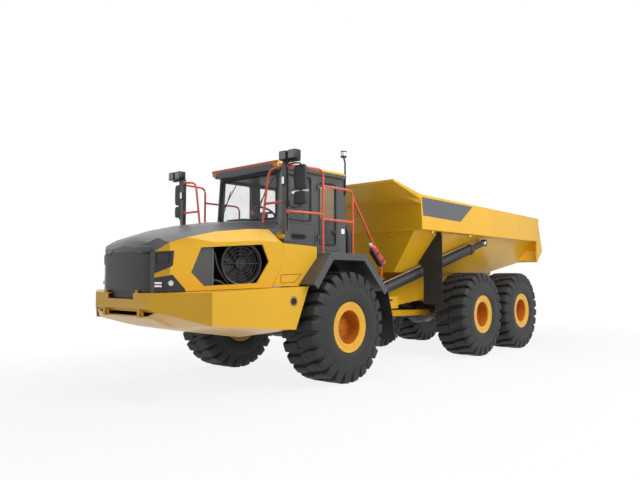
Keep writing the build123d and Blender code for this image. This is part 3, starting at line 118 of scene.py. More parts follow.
class Signal:
    """One output socket of a material. Arithmetic on it adds Math nodes."""

    def __init__(self, bench: "Bench", socket: bpy.types.NodeSocket) -> None:
        """Wraps a socket of a bench's tree."""
        self.bench = bench
        self.socket = socket

    def _maths(self, operation: str, first: Any, second: Any = 0.0) -> "Signal":
        """Adds one Math node with that operation on two numbers or signals."""
        return self.bench.add("ShaderNodeMath", {"operation": operation}, {0: first, 1: second})

    def __add__(self, other: Any) -> "Signal":
        """Sum with a number or a signal."""
        return self._maths("ADD", self, other)

    def __sub__(self, other: Any) -> "Signal":
        """Difference from a number or a signal."""
        return self._maths("SUBTRACT", self, other)

    def __rsub__(self, other: Any) -> "Signal":
        """A number less this signal."""
        return self._maths("SUBTRACT", other, self)

    def __mul__(self, other: Any) -> "Signal":
        """Product with a number or a signal."""
        return self._maths("MULTIPLY", self, other)

    def __truediv__(self, other: Any) -> "Signal":
        """Quotient by a number or a signal."""
        return self._maths("DIVIDE", self, other)

    __radd__ = __add__
    __rmul__ = __mul__

    def clamp(self) -> "Signal":
        """The signal held between 0 and 1."""
        return self._maths("MINIMUM", self._maths("MAXIMUM", self, 0.0), 1.0)

    def saw(self, count: float) -> "Signal":
        """Teeth from 0 to 0.5 that repeat that many times in each unit of the signal."""
        return self._maths("ABSOLUTE", self._maths("FRACT", self * count) - 0.5)


def opaque(value: Any) -> Any:
    """A colour with its fourth number. Anything else stays as it is."""
    return (*value, 1.0) if isinstance(value, tuple) and len(value) == 3 else value


class Bench:
    """The node tree of one new material or world, with one method that makes every node."""

    def __init__(self, name: str, sky: bool = False) -> None:
        """Makes the material or world, with an empty tree.

        Args:
            name: its name.
            sky: whether it is a world.
        """
        self.material = bpy.data.worlds.new(name) if sky else bpy.data.materials.new(name)
        self.material.use_nodes = True
        self.tree = self.material.node_tree
        self.tree.nodes.clear()

    def add(
        self,
        kind: str,
        settings: Mapping[str, Any] | None = None,
        inputs: Mapping[Any, Any] | None = None,
        output: int = 0,
    ) -> Signal:
        """Adds a node.

        Args:
            kind: the node's type.
            settings: its properties, and "stops" for a ramp, set before its sockets.
            inputs: the value or the signal of each socket, by name or number.
            output: the number of the output that is wanted.

        Returns:
            That output.
        """
        node = self.tree.nodes.new(kind)
        for key, value in (settings or {}).items():
            if key == "stops":
                self._stops(node.color_ramp, value)
            else:
                setattr(node, key, value)
        for key, value in (inputs or {}).items():
            if isinstance(value, Signal):
                self.tree.links.new(value.socket, node.inputs[key])
            else:
                node.inputs[key].default_value = value
        return Signal(self, node.outputs[output] if node.outputs else None)

    @staticmethod
    def _stops(ramp: bpy.types.ColorRamp, stops: Sequence[tuple[float, float]]) -> None:
        """Sets a ramp's grey stops.

        Args:
            ramp: the ramp.
            stops: (place, level) pairs.
        """
        while len(ramp.elements) < len(stops):
            ramp.elements.new(0.5)
        for element, (place, level) in zip(ramp.elements, stops):
            element.position = place
            element.color = (level, level, level, 1)

    def coordinates(self) -> Signal:
        """Object coordinates, in metres."""
        return self.add("ShaderNodeTexCoord", output=3)

    def axis(self, number: int) -> Signal:
        """One of the object coordinates: 0 ahead, 1 left, 2 up."""
        return self.add("ShaderNodeSeparateXYZ", None, {0: self.coordinates()}, output=number)

    def noise(self, scale: float, detail: float = 3.0, stretch: Point = (1, 1, 1)) -> Signal:
        """Cloudy noise from 0 to 1.

        Args:
            scale: clouds in a metre.
            detail: how many finer layers it has.
            stretch: factors on the three axes.

        Returns:
            The noise.
        """
        values = {"Vector": self.coordinates(), "Scale": stretch}
        place = self.add("ShaderNodeMapping", None, values)
        values = {"Vector": place, "Scale": scale, "Detail": detail}
        return self.add("ShaderNodeTexNoise", None, values)

    def ramp(self, signal: Signal, *stops: tuple[float, float]) -> Signal:
        """The signal carried through a ramp of (place, level) stops."""
        return self.add("ShaderNodeValToRGB", {"stops": stops}, {0: signal})

    def blend(self, share: Any, first: Any, second: Any) -> Signal:
        """Colour between two colours or signals, with that share of the second."""
        pair = {6 + n: opaque(colour) for n, colour in enumerate((first, second))}
        return self.add("ShaderNodeMix", {"data_type": "RGBA"}, {0: share, **pair}, output=2)

    def bump(self, height: Signal, depth: float, strength: float = 1.0) -> Signal:
        """Normal of a surface with that height field.

        Args:
            height: the height, from 0 to 1.
            depth: how deep its full range is, in metres.
            strength: the share of the effect.

        Returns:
            The normal.
        """
        values = {"Height": height, "Distance": depth, "Strength": strength}
        return self.add("ShaderNodeBump", None, values)

    def finish(self, **sockets: Any) -> bpy.types.Material:
        """Ends the material with one Principled shader.

        Args:
            **sockets: its sockets, with _ for a space.

        Returns:
            The material.
        """
        values = {key.replace("_", " "): opaque(value) for key, value in sockets.items()}
        shader = self.add("ShaderNodeBsdfPrincipled", None, values)
        self.add("ShaderNodeOutputMaterial", None, {"Surface": shader})
        return self.material


# Finishes


@dataclass(frozen=True)
class Paint:
    """Sprayed enamel with faint mottling, orange peel and a little dust low down."""

    colour: Colour
    roughness: float = 0.32
    coat: float = 0.35
    specular: float = 0.5
    dust: float = 0.10
    dust_from: float = 0.35
    dust_over: float = 1.6
    worn_share: float = 0.90

    def material(self, name: str) -> bpy.types.Material:
        """Makes the paint.

        Args:
            name: the material's name.

        Returns:
            The material.
        """
        bench = Bench(name)
        cloud = bench.noise(0.9, 4)
        speck = bench.noise(38, 2)
        low = (1 - (bench.axis(2) - self.dust_from) / self.dust_over).clamp()
        dusty = (low * bench.ramp(bench.noise(5, 5), (0.35, 0), (0.75, 1)) * self.dust).clamp()
        darker = tuple(c * self.worn_share for c in self.colour)
        base = bench.blend(bench.ramp(cloud, (0.3, 0), (0.7, 1)), darker, self.colour)
        base = bench.blend(dusty, base, DUST)
        rough = (cloud * 0.10 + speck * 0.05 + self.roughness - 0.06 + dusty * 0.4).clamp()
        peel = bench.bump(bench.noise(120, 1), 0.0004, 0.25)
        return bench.finish(
            Base_Color=base, Roughness=rough, Coat_Weight=self.coat, Coat_Roughness=0.12,
            Specular_IOR_Level=self.specular, Normal=peel,
        )


@dataclass(frozen=True)
class Moulded:
    """Grained moulding or matt coat, with a fine leather-like bump."""

    colour: Colour
    roughness: float = 0.55
    grain: float = 420.0
    depth: float = 0.0004

    def material(self, name: str) -> bpy.types.Material:
        """Makes the moulding.

        Args:
            name: the material's name.

        Returns:
            The material.
        """
        bench = Bench(name)
        cloud = bench.noise(3, 4)
        cells = bench.add(
            "ShaderNodeTexVoronoi", None, {"Vector": bench.coordinates(), "Scale": self.grain}
        )
        lighter = tuple(min(1.0, c * 1.35 + 0.004) for c in self.colour)
        base = bench.blend(bench.ramp(cloud, (0.35, 0), (0.7, 1)), self.colour, lighter)
        return bench.finish(
            Base_Color=base,
            Roughness=(cloud * 0.2 + self.roughness - 0.1).clamp(),
            Normal=bench.bump(cells, self.depth, 0.5),
        )


@dataclass(frozen=True)
class TyreRubber:
    """Black rubber, with scuffed lug faces and fine moulding lines on the walls."""

    colour: Colour = (0.017, 0.0175, 0.018)
    scuff: Colour = (0.046, 0.044, 0.042)
    lines: float = 90.0

    def material(self, name: str) -> bpy.types.Material:
        """Makes the rubber. Attribute wear is 1 on the lugs' tops, and ring is the radius.

        Args:
            name: the material's name.

        Returns:
            The material.
        """
        bench = Bench(name)
        worn = bench.add("ShaderNodeAttribute", {"attribute_name": "wear"}, None, output=2)
        ring = bench.add("ShaderNodeAttribute", {"attribute_name": "ring"}, None, output=2)
        cloud = bench.noise(6, 5)
        spots = bench.ramp(bench.noise(22, 4), (0.45, 0), (0.8, 1))
        shade = (worn * (cloud * 0.5 + 0.15) + spots * 0.18).clamp()
        lines = ring.saw(self.lines) * (1 - worn)
        relief = lines * 0.5 + bench.noise(160, 2) * 0.35 + cloud * 0.15
        return bench.finish(
            Base_Color=bench.blend(shade, self.colour, self.scuff),
            Roughness=(cloud * 0.18 + 0.52 + worn * 0.12).clamp(),
            Specular_IOR_Level=0.45,
            Normal=bench.bump(relief, 0.0016, 0.7),
        )


@dataclass(frozen=True)
class BareMetal:
    """Ground or plated metal with fine lines across its length."""

    colour: Colour
    roughness: float = 0.12
    tint: float = 0.86
    grain: Point = (1, 1, 14)

    def material(self, name: str) -> bpy.types.Material:
        """Makes the metal.

        Args:
            name: the material's name.

        Returns:
            The material.
        """
        bench = Bench(name)
        lines = bench.noise(30, 3, self.grain)
        tint = tuple(c * self.tint for c in self.colour)
        return bench.finish(
            Base_Color=bench.blend(bench.ramp(lines, (0.4, 0), (0.6, 1)), tint, self.colour),
            Roughness=(lines * 0.12 + self.roughness).clamp(),
            Metallic=1.0,
        )


@dataclass(frozen=True)
class TintedGlass:
    """Thin tinted sheet glass with a trace of dust."""

    colour: Colour = (0.70, 0.77, 0.79)
    alpha: float = 0.06
    film: Colour = (0.4, 0.42, 0.42)

    def material(self, name: str) -> bpy.types.Material:
        """Makes the glass.

        Args:
            name: the material's name.

        Returns:
            The material.
        """
        bench = Bench(name)
        film = bench.ramp(bench.noise(4, 5), (0.4, 0), (0.9, 1))
        return bench.finish(
            Base_Color=bench.blend(film * 0.25, self.colour, self.film),
            Roughness=(film * 0.05 + 0.02).clamp(),
            Alpha=(film * 0.06 + self.alpha).clamp(),
            Specular_IOR_Level=0.7,
        )


@dataclass(frozen=True)
class Lens:
    """Clear or coloured lamp lens over a bright inside, with fluting. Its small glow paints that
    bright inside; on parts that are no lamp, the reflectors and the extinguisher's head, the glow
    is painted light.
    """

    colour: Colour
    glow: float = 0.25
    flutes: float = 160.0

    def material(self, name: str) -> bpy.types.Material:
        """Makes the lens.

        Args:
            name: the material's name.

        Returns:
            The material.
        """
        bench = Bench(name)
        flute = bench.axis(1).saw(self.flutes) * 2
        pale = tuple(min(1.0, c * 1.2 + 0.04) for c in self.colour)
        return bench.finish(
            Base_Color=bench.blend(flute, self.colour, pale),
            Roughness=(flute * 0.1 + 0.08).clamp(),
            Emission_Color=self.colour,
            Emission_Strength=self.glow,
            Coat_Weight=1.0,
            Normal=bench.bump(flute, 0.001, 0.5),
        )


@dataclass(frozen=True)
class SeatCloth:
    """Woven seat cover: two crossed threads."""

    colour: Colour = (0.035, 0.036, 0.04)
    raised: Colour = (0.08, 0.082, 0.09)
    threads: float = 260.0

    def material(self, name: str) -> bpy.types.Material:
        """Makes the cloth.

        Args:
            name: the material's name.

        Returns:
            The material.
        """
        bench = Bench(name)
        weave = bench.axis(1).saw(self.threads) + (bench.axis(0) + bench.axis(2)).saw(self.threads)
        return bench.finish(
            Base_Color=bench.blend(weave.clamp(), self.colour, self.raised),
            Roughness=0.9,
            Normal=bench.bump(weave, 0.0006, 0.8),
        )


class Finish(Enum):
    """Every finish on the truck."""

    YELLOW = Paint((0.86, 0.47, 0.014), coat=0.16, specular=0.35)
    WHEEL_YELLOW = Paint((0.84, 0.43, 0.012), roughness=0.38, coat=0.15)
    # The dish's darker, more orange yellow is painted shade of the rim's deep recess.
    SHADED_DISH_YELLOW = Paint((0.56, 0.15, 0.006), roughness=0.42, coat=0.05, specular=0.3)
    STRIPE = Paint((0.115, 0.12, 0.13), roughness=0.45, coat=0.1, specular=0.3, dust=0.0)
    RED = Paint((0.62, 0.03, 0.02), roughness=0.25, coat=0.5, dust=0.0)
    GREY = Paint((0.062, 0.064, 0.068), roughness=0.38, coat=0.2, dust=0.04)
    GRILLE = Paint((0.030, 0.030, 0.031), roughness=0.42, coat=0.1, specular=0.35, dust=0.03)
    CAB_GREY = Paint((0.070, 0.072, 0.075), roughness=0.36, coat=0.3, dust=0.03)
    CHASSIS = Paint((0.018, 0.018, 0.019), roughness=0.5, coat=0.05, dust=0.18)
    ORANGE = Paint((0.78, 0.085, 0.025), roughness=0.3, coat=0.5, dust=0.02)
    TRIM = Moulded((0.016, 0.016, 0.017), roughness=0.5)
    LAMP_BLACK = Moulded((0.010, 0.010, 0.011), roughness=0.22, grain=900, depth=0.0001)
    FLAP = Moulded((0.013, 0.013, 0.013), roughness=0.6, grain=90, depth=0.001)
    SEAL = Moulded((0.008, 0.008, 0.008), roughness=0.7)
    TYRE = TyreRubber()
    CHROME = BareMetal((0.80, 0.80, 0.82))
    STEEL = BareMetal((0.45, 0.45, 0.46), roughness=0.35)
    MIRROR = BareMetal((0.85, 0.87, 0.88), roughness=0.03)
    GLASS = TintedGlass()
    WHITE_LENS = Lens((0.85, 0.86, 0.88), glow=0.35)
    CLEAR_LENS = Lens((0.55, 0.57, 0.60), glow=0.1)
    DARK_LENS = Lens((0.10, 0.105, 0.11), glow=0.02)
    RED_LENS = Lens((0.55, 0.02, 0.02), glow=0.15)
    CLOTH = SeatCloth()


class Palette:
    """Makes each material once."""

    def __init__(self) -> None:
        """Starts with no material made."""
        self.made: dict[Finish, bpy.types.Material] = {}

    def __getitem__(self, finish: Finish) -> bpy.types.Material:
        """Material of a finish.

        Args:
            finish: the finish.

        Returns:
            The material, made at the first call for it.
        """
        if finish not in self.made:
            self.made[finish] = finish.value.material(finish.name.lower())
        return self.made[finish]


# Surfaces


@dataclass
class Surface:
    """Vertices and quads of one shape, worked out as arrays."""

    points: Array
    quads: Array

    @classmethod
    def grid(cls, grid: Array, round_first: bool = False, round_second: bool = False) -> "Surface":
        """Surface over a two-parameter grid of points.

        Vertex (i, j) joins (i+1, j), (i+1, j+1) and (i, j+1), and a round parameter joins its last
        row to its first.

        Args:
            grid: points as an array (n, m, 3), or (k, n, m, 3) for k copies.
            round_first: whether the first parameter closes.
            round_second: whether the second parameter closes.

        Returns:
            The surface.
        """
        if grid.ndim == 3:
            grid = grid[None]
        copies, rows, columns = grid.shape[:3]
        i = np.arange(rows if round_first else rows - 1)
        j = np.arange(columns if round_second else columns - 1)
        i, j = (number.ravel() for number in np.meshgrid(i, j, indexing="ij"))
        here, there = i * columns, (i + 1) % rows * columns
        after = (j + 1) % columns
        one = np.stack([here + j, there + j, there + after, here + after], axis=1)
        starts = np.arange(copies) * rows * columns
        return cls(grid.reshape(-1, 3), (one[None] + starts[:, None, None]).reshape(-1, 4))

    def __add__(self, other: "Surface") -> "Surface":
        """Both surfaces in one."""
        quads = np.concatenate([self.quads, other.quads + len(self.points)])
        return Surface(np.concatenate([self.points, other.points]), quads)

    def moved(self, scale: Sequence[float], shift: Any = 0.0) -> "Surface":
        """The surface scaled about the origin, then shifted."""
        return Surface(self.points * scale + shift, self.quads)


def around(steps: int, turn: float = 2 * math.pi) -> Array:
    """Angles of that many steps round a turn, as a column."""
    return np.linspace(0, turn, steps, endpoint=False)[:, None]


def unit(vector: Sequence[float]) -> Array:
    """The vector at length 1."""
    return np.asarray(vector, float) / np.linalg.norm(vector)


def turned(profile: Array, steps: int, centre: Array, axis: Array, start: Array) -> Surface:
    """Turned form: each profile point (offset along the axis, radius) goes round the axis.

    P = centre + axis * offset + radius * (start * cos t + (axis x start) * sin t)

    Args:
        profile: (offset, radius) pairs, an array (n, 2).
        steps: steps in a turn.
        centre: the point that offsets are measured from.
        axis: unit vector along the axis.
        start: unit vector across it, where the turn starts.

    Returns:
        The surface.
    """
    turn = around(steps)
    ray = np.cos(turn) * start + np.sin(turn) * np.cross(axis, start)
    grid = centre + profile[None, :, :1] * axis + profile[None, :, 1:] * ray[:, None, :]
    return Surface.grid(grid, round_first=True)


def rounded(corners: Points, radius: float, steps: int = 6) -> Array:
    """Path with each inner corner replaced by an arc-like curve.

    Each corner becomes a quadratic curve from one tangent point to the other:
    P = (1-t)^2 A + 2 t (1-t) C + t^2 B.

    Args:
        corners: the points of the path.
        radius: how far from the corner each curve starts, at most.
        steps: points on each curve.

    Returns:
        The points of the path, an array (n, 3).
    """
    points = np.asarray(corners, float)
    if len(points) < 3:
        return points
    before, corner, after = points[:-2], points[1:-1], points[2:]
    reach_in = np.linalg.norm(before - corner, axis=1)
    reach_out = np.linalg.norm(after - corner, axis=1)
    reach = np.minimum(radius, 0.45 * np.minimum(reach_in, reach_out))[:, None]
    enter = corner + (before - corner) / reach_in[:, None] * reach
    leave = corner + (after - corner) / reach_out[:, None] * reach
    t = np.linspace(0, 1, steps)[None, :, None]
    enter, corner, leave = enter[:, None], corner[:, None], leave[:, None]
    curve = (1 - t) ** 2 * enter + 2 * t * (1 - t) * corner + t ** 2 * leave
    return np.concatenate([points[:1], curve.reshape(-1, 3), points[-1:]])


def swept(path: Array, outline: Array, up: Sequence[float] = (0.31, 0.12, 0.94)) -> Surface:
    """Closed outline carried along a path, with capped ends.

    At each point of the path the outline lies in the plane of side = tangent x up and
    rise = side x tangent, and each end is closed by a row that shrinks to its middle.

    Args:
        path: points of the path, an array (n, 3).
        outline: (side, rise) pairs, an array (m, 2).
        up: a direction that the path never follows.

    Returns:
        The surface.
    """
    tangent = np.gradient(path, axis=0)
    tangent /= np.linalg.norm(tangent, axis=1)[:, None]
    side = np.cross(tangent, np.asarray(up, float))
    side /= np.linalg.norm(side, axis=1)[:, None]
    rise = np.cross(side, tangent)
    across, over = outline[None, :, :1], outline[None, :, 1:]
    rows = path[:, None] + across * side[:, None] + over * rise[:, None]
    ends = [np.repeat(path[k][None], len(outline), axis=0)[None] for k in (0, -1)]
    return Surface.grid(np.concatenate([ends[0], rows, ends[1]]), round_second=True)


def circle(radius: float, steps: int = 14) -> Array:
    """Round outline of (side, rise) pairs."""
    turn = around(steps)
    return np.concatenate([np.cos(turn), np.sin(turn)], axis=1) * radius


def pipe(corners: Points, radius: float, bend: float = 0.12, steps: int = 14) -> Surface:
    """Round tube along a path with rounded corners."""
    return swept(rounded(corners, bend), circle(radius, steps))


def tube(corners: Points, radius: float, bend: float = 0.12, steps: int = 14) -> Surface:
    """Round tube whose corners are given ahead of the front axle."""
    return pipe(placed(corners), radius, bend, steps)


def pillow(low: Sequence[float], high: Sequence[float], power: float) -> Surface:
    """Box with rounded edges and faces, as a superquadric.

    With c(a) = sign(cos a) |cos a|^power and s(a) likewise, a point is
    middle + half * (c(v) c(u), c(v) s(u), s(v)) for u round the box and v from bottom to top.

    Args:
        low: lowest corner.
        high: highest corner.
        power: how round it is, from near 0, a sharp box, to 1, an ellipsoid.

    Returns:
        The surface.
    """
    u = np.linspace(-math.pi, math.pi, PILLOW_STEPS, endpoint=False)[None, :]
    u = u + math.pi / PILLOW_STEPS
    v = np.linspace(-math.pi / 2, math.pi / 2, PILLOW_STEPS // 2 + 1)[:, None]

    def soft(value: Array) -> Array:
        """The value with its size raised to the power, and its sign kept."""
        return np.sign(value) * np.abs(value) ** power

    flat = soft(np.cos(v))
    shape = [flat * soft(np.cos(u)), flat * soft(np.sin(u)), soft(np.sin(v)) + 0 * u]
    grid = (low + high) / 2 + (high - low) / 2 * np.stack(shape, axis=2)
    return Surface.grid(grid, round_second=True)


def block(low: Point, high: Point, power: float = 0.18) -> Surface:
    """Pillow between two corners that are given ahead of the front axle."""
    return pillow(at(*low), at(*high), power)


def domes(centres: Array, axis: Sequence[float], radius: float, height: float) -> Surface:
    """Bolt heads: a short six-sided prism with a flat top at each centre.

    Args:
        centres: where the heads sit, an array (k, 3).
        axis: the way they face.
        radius: to a corner of the head.
        height: of the head.

    Returns:
        The surface of all heads.
    """
    axis = np.asarray(axis, float)
    first = unit(np.cross(axis, ASKEW))
    turn = around(HEAD_SIDES)
    ray = np.cos(turn) * first + np.sin(turn) * np.cross(axis, first)
    rows = [(1.0, 0.0), (1.0, 0.75), (0.86, 1.0), (0.0, 1.0)]
    head = np.stack([ray * radius * r + axis * height * h for r, h in rows])
    return Surface.grid(centres[:, None, None] + head, round_second=True)


def plate(corners: Points, depth: Sequence[float]) -> Surface:
    """Flat plate with an outline, closed by rows that shrink to its middle.

    Args:
        corners: the outline, in order.
        depth: the way from the outline to the plate's other side.

    Returns:
        The surface.
    """
    outline = np.asarray(corners, float)
    middle = np.repeat(outline.mean(axis=0)[None], len(outline), axis=0)
    rows = [middle, outline, outline + depth, middle + depth]
    return Surface.grid(np.stack(rows), round_second=True)


def border(
    corners: Points, normal: Sequence[float], wide: float, thick: float, bend: float
) -> Surface:
    """Strip round an outline, such as a seal round a pane.

    Args:
        corners: the outline, in order.
        normal: across the pane.
        wide: of the strip, in the pane's plane.
        thick: of the strip, across the pane.
        bend: radius of the corners.

    Returns:
        The surface.
    """
    points = np.asarray(corners, float)
    start = (points[-1] + points[0]) / 2
    path = rounded(np.concatenate([start[None], points, start[None]]), bend)
    half = np.array([(-wide, -thick), (wide, -thick), (wide, thick), (-wide, thick)]) / 2
    return swept(path, half, normal)


def ringed(centre: Array, axis: Sequence[float], profile: Points, steps: int = 32) -> Surface:
    """Turned form about any axis, from (offset, radius) pairs."""
    axis = unit(axis)
    return turned(np.asarray(profile, float), steps, centre, axis, unit(np.cross(axis, ASKEW)))


def both(shape: Surface) -> Surface:
    """The shape and its mirror image on the other side of the truck."""
    return shape + shape.moved((1, -1, 1))


def joined(shapes: Sequence[Surface]) -> Surface:
    """All shapes in one."""
    return sum(shapes[1:], shapes[0])


def linked(name: str, data: bpy.types.ID) -> bpy.types.Object:
    """New object in the scene.

    Args:
        name: its name.
        data: its mesh, camera or lamp.

    Returns:
        The object.
    """
    item = bpy.data.objects.new(name, data)
    bpy.context.scene.collection.objects.link(item)
    return item


def mesh_piece(
    name: str, surface: Surface, finish: bpy.types.Material, body: str, smooth: float = 35.0
) -> bpy.types.Object:
    """Makes a mesh object from a surface and lets it ride on a body.

    Args:
        name: the piece's name.
        surface: its shape.
        finish: its material.
        body: the body that it moves with.
        smooth: edges sharper than this angle in degrees stay sharp.

    Returns:
        The object.
    """
    mesh = bpy.data.meshes.new(name)
    mesh.from_pydata(surface.points.tolist(), [], surface.quads.tolist())
    build = bmesh.new()
    build.from_mesh(mesh)
    bmesh.ops.remove_doubles(build, verts=build.verts, dist=MERGE)
    bmesh.ops.recalc_face_normals(build, faces=build.faces)
    build.to_mesh(mesh)
    build.free()
    mesh.materials.append(finish)
    mesh.shade_smooth()
    mesh.set_sharp_from_angle(angle=math.radians(smooth))
    LOG.info("%s rides on %s", name, body)
    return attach(linked(name, mesh), body)


# The studio


@dataclass
class Studio:
    """Camera, floor, world and lamps."""

    eye: Point = (10.1804, 7.8269, 1.7051)
    yaw: float = -138.132
    pitch: float = 3.4706
    focal_share: float = 607.5 / 640
    white_from: float = 5.5
    white_to: float = 10.0
    sky_strength: float = 0.38
    floor_share: float = 0.86
    floor_size: float = 90.0
    floor_drop: float = 0.0005
    floor_grey: Colour = (0.72, 0.72, 0.725)
    floor_stretch: Point = (0.8, 1.6, 0.0)
    sensor: float = 36.0
    sight: float = 200.0
    lamps: Sequence[tuple[str, Point, float, float, Point]] = (
        ("key", (0.5, 10.5, 9.0), 9.0, 1080.0, (0.0, 0.0, 1.4)),
        ("top", (0.5, 0.0, 12.0), 11.0, 620.0, (0.0, 0.0, 0.0)),
        ("nose", (14.0, 3.0, 5.0), 6.0, 12.0, (3.0, 0.0, 1.5)),
    )

    def camera(self) -> None:
        """Puts the camera where the photograph was taken."""
        data = bpy.data.cameras.new("camera")
        data.sensor_width = self.sensor
        data.lens = self.sensor * self.focal_share
        data.clip_end = self.sight
        camera = linked("camera", data)
        yaw, pitch = math.radians(self.yaw), math.radians(self.pitch)
        level = math.cos(pitch)
        look = Vector((level * math.cos(yaw), level * math.sin(yaw), math.sin(pitch)))
        camera.location = self.eye
        camera.rotation_euler = look.to_track_quat("-Z", "Y").to_euler()
        bpy.context.scene.camera = camera

    def floor(self) -> None:
        """Pale floor that keeps the shadow near the truck and is plain white further out."""
        spots = np.linspace(-self.floor_size, self.floor_size, 3)
        x, y = np.meshgrid(spots, spots, indexing="ij")
        surface = Surface.grid(np.stack([x, y, 0 * x - self.floor_drop], axis=2))
        mesh = bpy.data.meshes.new("floor")
        mesh.from_pydata(surface.points.tolist(), [], surface.quads.tolist())
        floor = linked("floor", mesh)
        bench = Bench("floor")
        flat = bench.add(
            "ShaderNodeVectorMath", {"operation": "MULTIPLY"},
            {0: bench.coordinates(), 1: self.floor_stretch},
        )
        away = bench.add("ShaderNodeVectorMath", {"operation": "LENGTH"}, {0: flat}, output=1)
        share = ((away - self.white_from) / (self.white_to - self.white_from)).clamp()
        matt = bench.add("ShaderNodeBsdfDiffuse", None, {"Color": opaque(self.floor_grey)})
        white = bench.add("ShaderNodeEmission", None, {"Color": WHITE, "Strength": 1.0})
        near = self.floor_share
        share = (share * (1 - near) + near) * self._seen(bench, CAMERA_RAY, GLOSSY_RAY)
        both_looks = bench.add("ShaderNodeMixShader", None, {0: share, 1: matt, 2: white})
        bench.add("ShaderNodeOutputMaterial", None, {"Surface": both_looks})
        mesh.materials.append(bench.material)

    @staticmethod
    def _seen(bench: Bench, *outputs: int) -> Signal:
        """1 for rays of the kinds that these outputs of a Light Path node stand for."""
        rays = [bench.add("ShaderNodeLightPath", output=number) for number in outputs]
        return sum(rays[1:], rays[0]).clamp()

    def world(self) -> None:
        """White to the camera and in reflections, and a softer sky as light."""
        bench = Bench("studio", sky=True)
        sky = bench.add(
            "ShaderNodeBackground", None, {"Color": SKY, "Strength": self.sky_strength}
        )
        white = bench.add("ShaderNodeBackground", None, {"Color": WHITE, "Strength": 1.0})
        seen = self._seen(bench, CAMERA_RAY, GLOSSY_RAY, THROUGH_RAY)
        both_looks = bench.add("ShaderNodeMixShader", None, {0: seen, 1: sky, 2: white})
        bench.add("ShaderNodeOutputWorld", None, {"Surface": both_looks})
        bpy.context.scene.world = bench.material

    def light(self) -> None:
        """Large soft lamps: from the truck's left, from above and a weak one at the nose."""
        for name, place, size, power, target in self.lamps:
            data = bpy.data.lights.new(name, "AREA")
            data.size = size
            data.energy = power
            lamp = linked(name, data)
            lamp.location = place
            look = Vector(target) - Vector(place)
            lamp.rotation_euler = look.to_track_quat("-Z", "Y").to_euler()

    def build(self) -> None:
        """Sets up the whole studio."""
        bpy.context.scene.view_settings.view_transform = "Standard"
        self.floor()
        self.world()
        self.light()


# Carried-over solids

SOLID_FINISHES = {
    Finish.CHASSIS: "front_frame hitch front_axle mid_axle rear_axle prop_shafts engine_block deck"
    " hoist_barrel_left hoist_barrel_right steer_barrel_left steer_barrel_right",
    Finish.TRIM: "cooling_fans mud_panels air_cleaner mirrors beacon steering_column",
    Finish.YELLOW: "front_apron belly_plate hood_sides side_panels rear_frame bogie_beams stays"
    " dump_body tailgate cab_roof",
    Finish.CHROME: "hoist_rod_left hoist_rod_right steer_rod_left steer_rod_right",
    Finish.GREY: "hood_cap fenders",
    Finish.GRILLE: "grille",
    Finish.CAB_GREY: "cowl cab_shell cab_door lamp_masts",
    Finish.GLASS: "cab_glass door_glass",
    Finish.LAMP_BLACK: "headlamps work_lamps",
    Finish.ORANGE: "handrails",
    Finish.CLOTH: "seat",
    Finish.FLAP: "mud_flaps",
}
SOFT_EDGES = {
    "front_apron": 0.006, "hood_sides": 0.008, "hood_cap": 0.010, "side_panels": 0.008,
    "grille": 0.008, "cowl": 0.010, "fenders": 0.008, "cab_shell": 0.014, "cab_door": 0.010,
    "cab_roof": 0.014, "dump_body": 0.010, "tailgate": 0.008, "rear_frame": 0.006,
    "bogie_beams": 0.006, "belly_plate": 0.004, "headlamps": 0.004, "seat": 0.03,
    "mud_panels": 0.003, "deck": 0.003, "lamp_masts": 0.006, "front_frame": 0.005,
    "stays": 0.005, "cooling_fans": 0.004,
}


@dataclass
class Dressing:
    """Gives each solid its finish, and the sheet metal softened edges."""

    palette: Palette
    nodes: Mapping[str, bpy.types.Object]
    bodies: Mapping[str, str]

    def __post_init__(self) -> None:
        """Works out which finish each solid has."""
        pairs = SOLID_FINISHES.items()
        self.finishes = {name: finish for finish, names in pairs for name in names.split()}

    def colour(self) -> None:
        """Puts each node's material in all of its slots."""
        for name, node in self.nodes.items():
            if name.startswith(("tyre_", "rim_")):
                finish = Finish.TYRE if name.startswith("tyre_") else Finish.WHEEL_YELLOW
            else:
                finish = self.finishes[name]
            material = self.palette[finish]
            if not node.material_slots:
                node.data.materials.append(material)
            for slot in node.material_slots:
                slot.material = material

    def soften(self) -> None:
        """Replaces sheet and frame nodes by merged copies with bevelled edges."""
        for name, width in SOFT_EDGES.items():
            self._soften(name, width)

    def _soften(self, name: str, width: float) -> None:
        """One node's merged copy with small bevels.

        Args:
            name: the node.
            width: the bevel's width in metres.
        """
        mesh = self.nodes[name].data.copy()
        mesh.name = f"{name}_skin"
        build = bmesh.new()
        build.from_mesh(mesh)
        bmesh.ops.remove_doubles(build, verts=build.verts, dist=SOLID_MERGE)
        bmesh.ops.dissolve_limit(
            build, angle_limit=math.radians(FLAT_ANGLE), verts=build.verts, edges=build.edges,
            delimit={"NORMAL"},
        )
        build.to_mesh(mesh)
        build.free()
        mesh.materials.clear()
        mesh.materials.append(self.palette[self.finishes[name]])
        mesh.shade_smooth()
        piece = linked(f"{name}_skin", mesh)
        bevel = piece.modifiers.new("soft_edges", "BEVEL")
        bevel.width = width
        bevel.segments = 2
        bevel.limit_method = "ANGLE"
        bevel.angle_limit = math.radians(BEVEL_ANGLE)
        weighted = piece.modifiers.new("flat_faces", "WEIGHTED_NORMAL")
        weighted.keep_sharp = True
        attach(piece, self.bodies[name])
        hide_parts(name)


# Wheels


